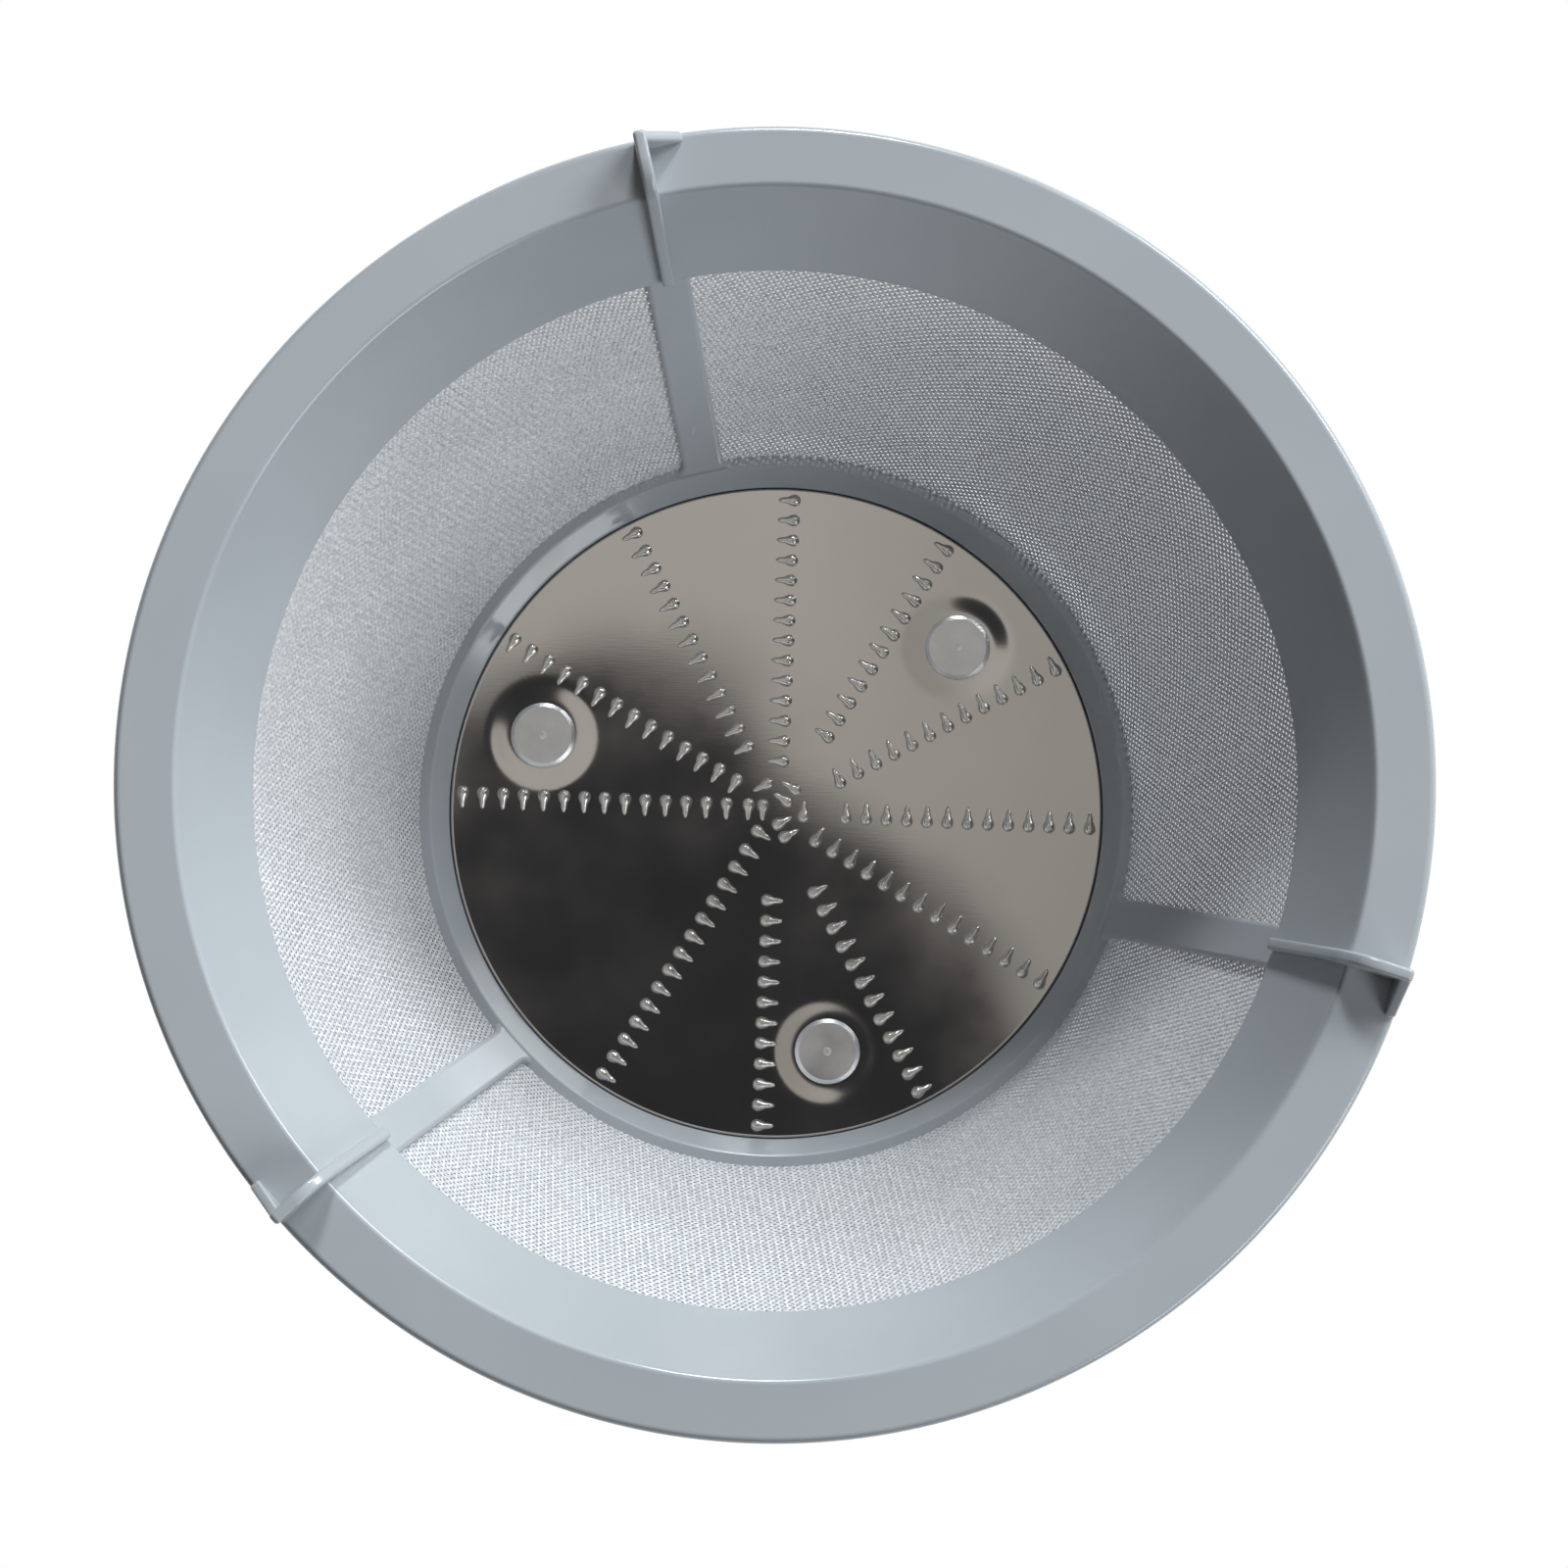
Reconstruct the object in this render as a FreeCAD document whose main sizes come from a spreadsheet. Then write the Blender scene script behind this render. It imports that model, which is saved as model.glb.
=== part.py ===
import FreeCAD, Part
import math
import os
import types

import Sketcher

# A juicer's mesh screen: a moulded basket with three ribs and fins, three panels of wire mesh
# seated in its windows, a grating disc riveted to its floor and a drive hub under it. Millimetres,
# +Z up, the axis of spin along Z, the ground plane of the standing basket at z = 0.

# Driving dimensions
SIZES = {
    # flange, cone and floor of the moulding
    "rim_radius": 71.0,
    "flange_width": 6.7,
    "flange_thickness": 2.2,
    "rim_rounding": 0.8,
    "mouth_rounding": 0.7,
    "cone_angle": 25.0,
    "wall": 3.0,
    "basket_depth": 51.7,
    "band_depth": 13.8,
    "ring_height": 4.0,
    "ring_ledge": 1.6,
    "floor_thickness": 2.4,
    "foot_height": 10.0,
    "skirt_inset": 3.28,
    "skirt_wall": 2.0,
    "skirt_rounding": 0.4,
    # hub that sits on the machine's drive
    "hub_radius": 9.0,
    "hub_lift": 1.5,
    "bore_radius": 5.0,
    "key_width": 2.0,
    "key_depth": 1.2,
    # ribs and fins, three of each
    "rib_turn": 342.0,
    "rib_width": 5.0,
    "rib_inset": 0.3,
    "rib_foot_rounding": 1.5,
    "rib_core_angle": 3.0,
    "fin_height": 4.2,
    "fin_thickness": 1.4,
    "fin_setback": 0.15,
    "fin_bend": 5.0,
    "fin_end": 1.2,
    "gusset_length": 4.5,
    "gusset_thickness": 1.2,
    "lap": 0.6,
    # mesh panels and their seat in the moulding
    "mesh_recess": 1.2,
    "mesh_thickness": 0.45,
    "mesh_seat": 1.6,
    "mesh_clearance": 0.05,
    "gap_width": 5.4,
    "gap_height": 5.2,
    "gap_margin": 1.55,
    "gap_column_angle": 15.4,
    # grating disc
    "disc_height": 1.7,
    "disc_clearance": 0.15,
    "disc_rounding": 0.8,
    "sheet": 0.5,
    "dimple_radius": 6.1,
    "dimple_floor_radius": 4.4,
    "first_row_angle": 15.5,
    "tooth_margin": 1.44,
    "inner_tooth_radius": 6.1,
    "tooth_length": 3.1,
    "tooth_width": 1.3,
    "tooth_tail_width": 0.5,
    "tooth_height": 0.7,
    "tooth_tip": 0.4,
    "tooth_root": 0.2,
    "centre_ring_radius": 3.4,
    # rivets
    "rivet_margin": 9.84,
    "rivet_head_radius": 3.9,
    "rivet_head_height": 1.0,
    "rivet_rounding": 0.35,
    "rivet_shank_radius": 2.0,
    "rivet_clearance": 0.05,
    "rivet_tail_radius": 3.2,
    "rivet_tail_height": 1.2,
}

# How often things repeat
RIB_COUNT = 3
GAP_ROWS = 5
GAP_COLUMNS = 7
CENTRE_TEETH = 6
# teeth in each row, counted from the row next to the first rivet; one place of the twelve has no row
TEETH_IN_ROW = (12, 14, 13, 14, 14, 0, 14, 12, 12, 14, 13, 13)
BARE_ROW = TEETH_IN_ROW.index(0)
SHORTEST_ROW = min(teeth for teeth in TEETH_IN_ROW if teeth)
ROW_STEP = 360.0 / len(TEETH_IN_ROW)

SHEET_NAME = "Sizes"


class Size:
    """A number, and the expression over the sheet's cells that gives it."""

    def __init__(self, value, text=None):
        self.value = float(value)
        self.text = text or repr(float(value))

    def __add__(self, other):
        other = as_size(other)
        return Size(self.value + other.value, f"({self.text} + {other.text})")

    def __sub__(self, other):
        other = as_size(other)
        return Size(self.value - other.value, f"({self.text} - {other.text})")

    def __mul__(self, other):
        other = as_size(other)
        return Size(self.value * other.value, f"({self.text} * {other.text})")

    def __truediv__(self, other):
        other = as_size(other)
        return Size(self.value / other.value, f"({self.text} / {other.text})")

    def __neg__(self):
        return Size(-self.value, f"(0 - {self.text})")


def as_size(number):
    """A Size as it is, and a plain number as a Size."""
    return number if isinstance(number, Size) else Size(number)


def tangent(angle):
    """The tangent of an angle in degrees."""
    return Size(math.tan(math.radians(angle.value)), f"tan({angle.text} * 1deg)")


def cosine(angle):
    """The cosine of an angle in degrees."""
    return Size(math.cos(math.radians(angle.value)), f"cos({angle.text} * 1deg)")


def sine(angle):
    """The sine of an angle in degrees."""
    return Size(math.sin(math.radians(angle.value)), f"sin({angle.text} * 1deg)")


def fill_sheet(document):
    """Write the driving dimensions into the document's sheet and return them as Sizes by name."""
    sheet = document.addObject("Spreadsheet::Sheet", SHEET_NAME)
    sizes = {}
    for row, (alias, value) in enumerate(SIZES.items(), start=1):
        sheet.set(f"A{row}", alias)
        sheet.set(f"B{row}", str(value))
        sheet.setAlias(f"B{row}", alias)
        sizes[alias] = Size(value, f"{SHEET_NAME}.{alias}")
    document.recompute()
    return types.SimpleNamespace(**sizes)


document = FreeCAD.newDocument("juicer_mesh_screen")
size = fill_sheet(document)

# Levels and radii that several pieces share
ground = Size(0)
floor_top = size.foot_height + size.floor_thickness
disc_top = floor_top + size.disc_height
rim_top = disc_top + size.basket_depth
window_top = rim_top - size.band_depth
window_foot = disc_top + size.ring_height
mouth_radius = size.rim_radius - size.flange_width
rivet_hole_radius = size.rivet_shank_radius + size.rivet_clearance
window_turn = size.rib_turn + 180.0 / RIB_COUNT


def cone_radius(level):
    """Radius of the basket's inside at a level: it narrows from the mouth down at the cone's angle."""
    return mouth_radius - (rim_top - level) * tangent(size.cone_angle)


def slant(level):
    """Place of a level along the cone's side, measured up the side from the mouth."""
    return (level - rim_top) / cosine(size.cone_angle)


# Radii that follow the cone
skirt_radius = cone_radius(size.foot_height) + size.wall - size.skirt_inset
disc_radius = cone_radius(disc_top) - size.disc_clearance
tooth_ring_radius = disc_radius - size.tooth_margin
tooth_pitch = (tooth_ring_radius - size.inner_tooth_radius) / (max(TEETH_IN_ROW) - 1)
rivet_circle_radius = disc_radius - size.rivet_margin


# Sketches and features


def origin_part(body, role):
    """A plane or axis of a body's own origin."""
    return next(part for part in body.Origin.OriginFeatures if part.Role == role)


def bind(thing, **properties):
    """Tie properties of an object to the sheet; two underscores in a name stand for a dot."""
    for name, amount in properties.items():
        thing.setExpression(name.replace("__", "."), as_size(amount).text)


def new_body(label, turn):
    """An empty body, turned about the axis of spin."""
    body = document.addObject("PartDesign::Body", label)
    body.Label = label
    body.AllowCompound = True
    bind(body, Placement__Rotation__Angle=turn)
    return body


def new_sketch(body, name, plane, level=ground, offset=ground, turn=None, turn_axis=(0, 0, 1)):
    """A sketch on a plane of the body's origin, moved up its own y by level and along its normal by offset."""
    sketch = body.newObject("Sketcher::SketchObject", name)
    sketch.AttachmentSupport = [(origin_part(body, plane), "")]
    sketch.MapMode = "FlatFace"
    if turn is not None:
        sketch.AttachmentOffset = FreeCAD.Placement(
            FreeCAD.Vector(), FreeCAD.Rotation(FreeCAD.Vector(*turn_axis), turn.value)
        )
        bind(sketch, AttachmentOffset__Rotation__Angle=turn)
    bind(sketch, AttachmentOffset__Base__y=level, AttachmentOffset__Base__z=offset)
    return sketch


def side_sketch(body, name, radial_offset):
    """A sketch laid on the cone's side above the x axis: its y runs up the side, from 0 at the mouth."""
    return new_sketch(
        body, name, "YZ_Plane", rim_top, mouth_radius + radial_offset, size.cone_angle, (1, 0, 0)
    )


def hold(sketch, geometry, vertex, x, y):
    """Hold a vertex of the sketch at x, y; a plain 0 lays it on the axis."""
    for kind, axis, amount in (("DistanceX", -2, x), ("DistanceY", -1, y)):
        if not isinstance(amount, Size):
            sketch.addConstraint(Sketcher.Constraint("PointOnObject", geometry, vertex, axis))
            continue
        number = sketch.addConstraint(
            Sketcher.Constraint(kind, -1, 1, geometry, vertex, amount.value)
        )
        sketch.setExpression(f"Constraints[{number}]", amount.text)


def corner_arc(before, corner, after, radius):
    """Centre and ends of the arc of a radius that rounds a corner, and whether it runs anticlockwise."""
    to_before = (before - corner).normalize()
    to_after = (after - corner).normalize()
    half = to_before.getAngle(to_after) / 2
    trim = radius / math.tan(half)
    middle = (to_before + to_after).normalize()
    centre = corner + middle * (radius / math.sin(half))
    anticlockwise = (corner - before).cross(after - corner).z > 0
    return centre, corner + to_before * trim, corner + to_after * trim, anticlockwise


def outline(sketch, corners):
    """Draw a closed outline. A corner is (x, y), or (x, y, radius) where it is rounded."""
    count = len(corners)
    points = [
        FreeCAD.Vector(as_size(corner[0]).value, as_size(corner[1]).value, 0) for corner in corners
    ]
    arcs = {}
    for i, corner in enumerate(corners):
        if len(corner) == 3:
            arcs[i] = corner_arc(
                points[i - 1], points[i], points[(i + 1) % count], corner[2].value
            )
    lines = []
    for i in range(count):
        j = (i + 1) % count
        start = arcs[i][2] if i in arcs else points[i]
        end = arcs[j][1] if j in arcs else points[j]
        lines.append(sketch.addGeometry(Part.LineSegment(start, end)))
    for i, corner in enumerate(corners):
        arriving, leaving = lines[i - 1], lines[i]
        if i not in arcs:
            sketch.addConstraint(Sketcher.Constraint("Coincident", arriving, 2, leaving, 1))
            hold(sketch, leaving, 1, corner[0], corner[1])
            continue
        round_corner(sketch, arriving, leaving, points[i], corner, arcs[i])


def round_corner(sketch, arriving, leaving, point, corner, arc):
    """Join two lines by an arc, and hold the corner that they would have met at."""
    centre, start, end, anticlockwise = arc
    first, last = (start, end) if anticlockwise else (end, start)
    angles = [math.atan2(place.y - centre.y, place.x - centre.x) for place in (first, last)]
    circle = Part.Circle(centre, FreeCAD.Vector(0, 0, 1), corner[2].value)
    curve = sketch.addGeometry(Part.ArcOfCircle(circle, angles[0], angles[1]))
    entry, leave = (1, 2) if anticlockwise else (2, 1)
    sketch.addConstraint(Sketcher.Constraint("Tangent", arriving, 2, curve, entry))
    sketch.addConstraint(Sketcher.Constraint("Tangent", curve, leave, leaving, 1))
    number = sketch.addConstraint(Sketcher.Constraint("Radius", curve, corner[2].value))
    sketch.setExpression(f"Constraints[{number}]", corner[2].text)
    mark = sketch.addGeometry(Part.Point(point), True)
    sketch.addConstraint(Sketcher.Constraint("PointOnObject", mark, 1, arriving))
    sketch.addConstraint(Sketcher.Constraint("PointOnObject", mark, 1, leaving))
    hold(sketch, mark, 1, corner[0], corner[1])


def upright_axis(sketch, x):
    """A construction line of the sketch, parallel to the axis of spin at x, to turn a profile about."""
    line = sketch.addGeometry(
        Part.LineSegment(FreeCAD.Vector(x.value, 0, 0), FreeCAD.Vector(x.value, 1, 0)), True
    )
    hold(sketch, line, 1, x, 0)
    hold(sketch, line, 2, x, Size(1))
    return line


def turned(body, kind, name, sketch, axis="V_Axis", angle=None):
    """A revolution or groove of a sketch: a full turn, or an angle shared by both sides of the sketch."""
    feature = body.newObject(f"PartDesign::{kind}", name)
    feature.Profile = sketch
    feature.ReferenceAxis = (sketch, [axis])
    feature.Angle = 360
    if angle is not None:
        feature.Midplane = True
        bind(feature, Angle=angle)
    return feature


def extruded(body, kind, name, sketch, length, symmetric=False, reverse=False):
    """A pad or pocket of a sketch, to one side or shared by both sides of it."""
    feature = body.newObject(f"PartDesign::{kind}", name)
    feature.Profile = sketch
    feature.SideType = "Symmetric" if symmetric else "One side"
    feature.Reversed = reverse
    bind(feature, Length=length)
    return feature


def spun(body, name, originals, count, step=None):
    """Copies of features about the axis of spin: evenly round it, or a step apart."""
    pattern = body.newObject("PartDesign::PolarPattern", name)
    pattern.Originals = originals
    pattern.Axis = (origin_part(body, "Z_Axis"), [""])
    pattern.Occurrences = count
    pattern.Refine = False
    if step is None:
        pattern.Angle = 360
    else:
        pattern.Mode = "Spacing"
        bind(pattern, Offset=step)
    body.Tip = pattern
    return pattern


# The moulding


def basket_frame():
    """The moulded basket: floor with its skirt, lower ring, ribs, rim with its fins."""
    body = new_body("basket_frame", size.rib_turn)
    cup(body)
    added = [rib(body)]
    rim(body)
    added += [fin(body), gusset(body)]
    spun(body, "ribs_and_fins", added, RIB_COUNT)
    spun(body, "seats", [mesh_slot(body), rivet_hole(body)], RIB_COUNT)
    return body


def cup(body):
    """Floor with its skirt, and the lower ring up to the foot of the windows, wider outside than the wall."""
    skirt_inside = skirt_radius - size.skirt_wall
    seat_radius = cone_radius(disc_top)
    profile = new_sketch(body, "cup_profile", "XZ_Plane")
    outline(profile, [
        (0, size.foot_height),
        (skirt_inside, size.foot_height),
        (skirt_inside, 0, size.skirt_rounding),
        (skirt_radius, 0, size.skirt_rounding),
        (skirt_radius, size.foot_height),
        (cone_radius(size.foot_height) + size.wall, size.foot_height, size.rim_rounding),
        (cone_radius(window_foot) + size.wall + size.ring_ledge, window_foot),
        (cone_radius(window_foot), window_foot),
        (seat_radius, disc_top),
        (seat_radius, floor_top),
        (0, floor_top),
    ])
    return turned(body, "Revolution", "cup", profile)


def rib(body):
    """A flat bar up the cone's side, flared where it leaves the lower ring."""
    half = size.rib_width / 2
    flare = half + size.rib_foot_rounding + size.lap
    foot, top = slant(window_foot), slant(window_top)
    profile = side_sketch(body, "rib_profile", size.rib_inset)
    outline(profile, [
        (half, top + size.lap),
        (-half, top + size.lap),
        (-half, foot, size.rib_foot_rounding),
        (-flare, foot),
        (-flare, foot - size.lap),
        (flare, foot - size.lap),
        (flare, foot),
        (half, foot, size.rib_foot_rounding),
    ])
    thickness = (size.wall - size.rib_inset * 2) * cosine(size.cone_angle)
    return extruded(body, "Pad", "rib", profile, thickness)


def rim(body):
    """The plain band above the mesh, and the flat flange round the mouth."""
    flange_underside = rim_top - size.flange_thickness
    profile = new_sketch(body, "rim_profile", "XZ_Plane")
    outline(profile, [
        (cone_radius(window_top), window_top),
        (cone_radius(window_top) + size.wall, window_top),
        (cone_radius(flange_underside) + size.wall, flange_underside),
        (size.rim_radius, flange_underside, size.rim_rounding),
        (size.rim_radius, rim_top, size.rim_rounding),
        (mouth_radius, rim_top, size.mouth_rounding),
    ])
    return turned(body, "Revolution", "rim", profile)


def fin(body):
    """A thin upright plate above each rib: level over the flange, then down the band to a blunt end."""
    outer = size.rim_radius - size.fin_setback
    top = rim_top + size.fin_height
    end_level = window_top + size.lap
    inwards, upwards = -cosine(size.cone_angle), sine(size.cone_angle)
    profile = new_sketch(body, "fin_profile", "XZ_Plane")
    outline(profile, [
        (outer, rim_top - size.lap),
        (outer, top),
        (mouth_radius, top, size.fin_bend),
        (cone_radius(end_level) + inwards * size.fin_end, end_level + upwards * size.fin_end),
        (cone_radius(end_level) - inwards * size.lap, end_level - upwards * size.lap),
        (mouth_radius + size.lap, rim_top - size.lap),
    ])
    return extruded(body, "Pad", "fin", profile, size.fin_thickness, symmetric=True)


def gusset(body):
    """A small sloping wall along the rim's edge, behind the outer end of each fin."""
    profile = new_sketch(
        body, "gusset_profile", "YZ_Plane", offset=size.rim_radius - size.fin_setback
    )
    outline(profile, [
        (0, rim_top - size.lap),
        (0, rim_top + size.fin_height),
        (-size.gusset_length, rim_top),
        (-size.gusset_length, rim_top - size.lap),
    ])
    return extruded(body, "Pad", "gusset", profile, size.gusset_thickness, reverse=True)


def mesh_slot(body):
    """The groove round one window that holds a mesh panel's edges."""
    inner = size.mesh_recess - size.mesh_clearance
    outer = size.mesh_recess + size.mesh_thickness + size.mesh_clearance
    foot = window_foot - size.mesh_seat - size.mesh_clearance
    top = window_top + size.mesh_seat + size.mesh_clearance
    profile = new_sketch(body, "slot_profile", "XZ_Plane")
    outline(profile, [
        (-(cone_radius(foot) + inner), foot),
        (-(cone_radius(foot) + outer), foot),
        (-(cone_radius(top) + outer), top),
        (-(cone_radius(top) + inner), top),
    ])
    angle = Size(360.0 / RIB_COUNT) - size.rib_core_angle
    return turned(body, "Groove", "mesh_slot", profile, angle=angle)


def rivet_hole(body):
    """A hole through the floor for a rivet's shank."""
    profile = new_sketch(body, "rivet_hole_profile", "XY_Plane")
    circle = Part.Circle(
        FreeCAD.Vector(-rivet_circle_radius.value, 0, 0),
        FreeCAD.Vector(0, 0, 1),
        rivet_hole_radius.value,
    )
    ring = profile.addGeometry(circle)
    hold(profile, ring, 3, -rivet_circle_radius, 0)
    number = profile.addConstraint(Sketcher.Constraint("Radius", ring, rivet_hole_radius.value))
    profile.setExpression(f"Constraints[{number}]", rivet_hole_radius.text)
    return extruded(body, "Pocket", "rivet_hole", profile, floor_top + size.lap, reverse=True)


# The drive hub


def drive_hub():
    """The socket under the floor that drops over the machine's drive: a bush with two key slots."""
    body = new_body("drive_hub", size.rib_turn)
    profile = new_sketch(body, "hub_profile", "XZ_Plane")
    outline(profile, [
        (size.bore_radius, size.hub_lift),
        (size.hub_radius, size.hub_lift, size.skirt_rounding),
        (size.hub_radius, size.foot_height),
        (size.bore_radius, size.foot_height),
    ])
    turned(body, "Revolution", "hub", profile)
    reach = size.bore_radius + size.key_depth
    half = size.key_width / 2
    keyway = new_sketch(body, "keyway_profile", "XY_Plane", offset=size.hub_lift)
    outline(keyway, [(-reach, -half), (reach, -half), (reach, half), (-reach, half)])
    extruded(body, "Pocket", "keyway", keyway, size.foot_height, reverse=True)
    return body


# The mesh


def mesh_panel(label, number):
    """One conical panel of the mesh, with its weave shown as staggered lozenge gaps."""
    panel_angle = Size(360.0 / RIB_COUNT) - size.rib_core_angle - side_gap_angle() * 2
    first_column = size.gap_column_angle * ((GAP_COLUMNS - 1) / 2)
    body = new_body(label, window_turn + 360.0 * number / RIB_COUNT - first_column)
    foot = window_foot - size.mesh_seat
    top = window_top + size.mesh_seat
    inner = size.mesh_recess
    outer = size.mesh_recess + size.mesh_thickness
    profile = new_sketch(body, "panel_profile", "XZ_Plane", turn=first_column, turn_axis=(0, 1, 0))
    outline(profile, [
        (cone_radius(foot) + inner, foot),
        (cone_radius(foot) + outer, foot),
        (cone_radius(top) + outer, top),
        (cone_radius(top) + inner, top),
    ])
    turned(body, "Revolution", "panel", profile, angle=panel_angle)
    full_column = gap_column(body, "gaps", GAP_ROWS, ground)
    spun(body, "gap_columns", [full_column], GAP_COLUMNS, size.gap_column_angle)
    short_column = gap_column(body, "gaps_between", GAP_ROWS - 1, size.gap_column_angle / 2)
    spun(body, "gap_columns_between", [short_column], GAP_COLUMNS - 1, size.gap_column_angle)
    return body


def side_gap_angle():
    """The angle of a panel's side clearance, as seen from the axis at the foot of the windows."""
    return size.mesh_clearance / cone_radius(window_foot) * (180.0 / math.pi)


def gap_column(body, name, rows, turn):
    """One column of lozenge gaps up the panel, centred on the window, turned about the axis of spin."""
    middle = (window_foot + window_top) / 2
    pitch = (window_top - window_foot - size.gap_margin * 2 - size.gap_height) / (GAP_ROWS - 1)
    half_width = size.gap_width / 2
    half_height = size.gap_height / 2
    profile = new_sketch(body, f"{name}_profile", "YZ_Plane", turn=turn, turn_axis=(0, 1, 0))
    for row in range(rows):
        level = middle + pitch * (row - (rows - 1) / 2)
        outline(profile, [
            (0, level - half_height),
            (half_width, level),
            (0, level + half_height),
            (-half_width, level),
        ])
    return extruded(body, "Pocket", name, profile, size.rim_radius, reverse=True)


# The grating disc


def grating_disc():
    """The pressed steel disc: a shallow pan with three dimples for the rivets and rows of raised teeth."""
    body = new_body("grating_disc", window_turn)
    profile = new_sketch(body, "disc_profile", "XZ_Plane")
    outline(profile, [
        (0, disc_top),
        (disc_radius, disc_top, size.disc_rounding),
        (disc_radius, floor_top),
        (disc_radius - size.sheet, floor_top),
        (disc_radius - size.sheet, disc_top - size.sheet, size.disc_rounding - size.sheet),
        (0, disc_top - size.sheet),
    ])
    turned(body, "Revolution", "disc", profile)
    spun(body, "dimples", [dimple_cup(body), dimple_hollow(body)], RIB_COUNT)
    for ring in range(SHORTEST_ROW, max(TEETH_IN_ROW)):
        inner_ring(body, ring)
    centre_tooth = tooth(body, "centre_tooth", size.centre_ring_radius, size.first_row_angle)
    spun(body, "centre_ring", [centre_tooth], CENTRE_TEETH)
    full_rings(body)
    return body


def dimple_cup(body):
    """The solid under a dimple, down to the floor that it rests on."""
    profile = new_sketch(body, "dimple_cup_profile", "XZ_Plane")
    axis = rivet_circle_radius
    upright_axis(profile, axis)
    inside_sheet = disc_top - size.sheet / 2
    outline(profile, [
        (axis, floor_top),
        (axis + size.dimple_floor_radius + size.sheet, floor_top),
        (axis + size.dimple_radius + size.sheet, inside_sheet),
        (axis, inside_sheet),
    ])
    return turned(body, "Revolution", "dimple_cup", profile, "Axis0")


def dimple_hollow(body):
    """The hollow of a dimple and the rivet's hole in its floor."""
    profile = new_sketch(body, "dimple_hollow_profile", "XZ_Plane")
    axis = rivet_circle_radius
    upright_axis(profile, axis)
    dimple_floor = floor_top + size.sheet
    outline(profile, [
        (axis, floor_top - size.lap),
        (axis + rivet_hole_radius, floor_top - size.lap),
        (axis + rivet_hole_radius, dimple_floor),
        (axis + size.dimple_floor_radius, dimple_floor),
        (axis + size.dimple_radius, disc_top),
        (axis + size.dimple_radius, disc_top + size.lap),
        (axis, disc_top + size.lap),
    ])
    return turned(body, "Groove", "dimple_hollow", profile, "Axis0")


def tooth(body, name, radius, turn):
    """A leaning pyramid: blunt end leading clockwise, long tail behind it, tip over the blunt end."""
    half_length = size.tooth_length / 2
    half_width = size.tooth_width / 2
    half_tail = size.tooth_tail_width / 2
    half_tip = size.tooth_tip / 2
    tip_place = size.tooth_width / 2 - half_length
    root = new_sketch(body, f"{name}_root", "XY_Plane", offset=disc_top - size.tooth_root, turn=turn)
    outline(root, [
        (radius - half_width, -half_length),
        (radius + half_width, -half_length),
        (radius + half_tail, half_length),
        (radius - half_tail, half_length),
    ])
    tip = new_sketch(body, f"{name}_tip", "XY_Plane", offset=disc_top + size.tooth_height, turn=turn)
    outline(tip, [
        (radius - half_tip, tip_place - half_tip),
        (radius + half_tip, tip_place - half_tip),
        (radius + half_tip, tip_place + half_tip),
        (radius - half_tip, tip_place + half_tip),
    ])
    loft = body.newObject("PartDesign::AdditiveLoft", name)
    loft.Profile = root
    loft.Sections = [tip]
    loft.Ruled = True
    return loft


def row_turn(row):
    """Direction of a row, counted from the first."""
    return size.first_row_angle + ROW_STEP * row


def inner_ring(body, ring):
    """The teeth of one ring, counted inwards, that only the longer rows have."""
    rows = [row for row, teeth in enumerate(TEETH_IN_ROW) if teeth > ring]
    radius = tooth_ring_radius - tooth_pitch * ring
    first = tooth(body, f"ring_{ring}_tooth", radius, row_turn(rows[0]))
    pattern = spun(body, f"ring_{ring}", [first], len(rows), Size(ROW_STEP))
    pattern.Spacings = [ROW_STEP * (after - before) for before, after in zip(rows, rows[1:])]
    return pattern


def full_rings(body):
    """The outer rings, that every row has: a row stepped inwards, and stepped round from the bare place."""
    first = tooth(body, "row_tooth", tooth_ring_radius, row_turn(BARE_ROW + 1))
    rings = body.newObject("PartDesign::MultiTransform", "full_rings")
    rings.Originals = [first]
    rings.Refine = False
    inwards = body.newObject("PartDesign::LinearPattern", "row_inwards")
    inwards.Direction = (first.Profile[0], ["H_Axis"])
    inwards.Reversed = True
    inwards.Mode = "Spacing"
    inwards.Occurrences = SHORTEST_ROW
    bind(inwards, Offset=tooth_pitch)
    round_disc = body.newObject("PartDesign::PolarPattern", "rows_round_disc")
    round_disc.Axis = (origin_part(body, "Z_Axis"), [""])
    round_disc.Mode = "Spacing"
    round_disc.Offset = ROW_STEP
    round_disc.Occurrences = len(TEETH_IN_ROW) - 1
    rings.Transformations = [inwards, round_disc]
    body.Tip = rings
    return rings


# The rivets


def rivets():
    """Three rivets that clamp the disc's dimples to the floor."""
    body = new_body("rivets", window_turn)
    axis = rivet_circle_radius
    seat = floor_top + size.sheet
    head_top = seat + size.rivet_head_height
    tail_end = size.foot_height - size.rivet_tail_height
    profile = new_sketch(body, "rivet_profile", "XZ_Plane")
    upright_axis(profile, axis)
    outline(profile, [
        (axis, head_top),
        (axis + size.rivet_head_radius, head_top, size.rivet_rounding),
        (axis + size.rivet_head_radius, seat),
        (axis + size.rivet_shank_radius, seat),
        (axis + size.rivet_shank_radius, size.foot_height),
        (axis + size.rivet_tail_radius, size.foot_height),
        (axis + size.rivet_tail_radius, tail_end, size.rivet_rounding),
        (axis, tail_end),
    ])
    rivet = turned(body, "Revolution", "rivet", profile, "Axis0")
    spun(body, "rivet_set", [rivet], RIB_COUNT)
    return body


# Build, check and write


def check(pieces):
    """Stop if any object failed, or any piece is empty or not valid."""
    failed = [
        thing.Name for thing in document.Objects
        if "Invalid" in thing.State or "Error" in thing.State
    ]
    if failed:
        raise RuntimeError(f"these did not compute: {failed}")
    for piece in pieces:
        if piece.Shape.isNull() or not piece.Shape.isValid():
            raise RuntimeError(f"{piece.Label} has no valid shape")


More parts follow.
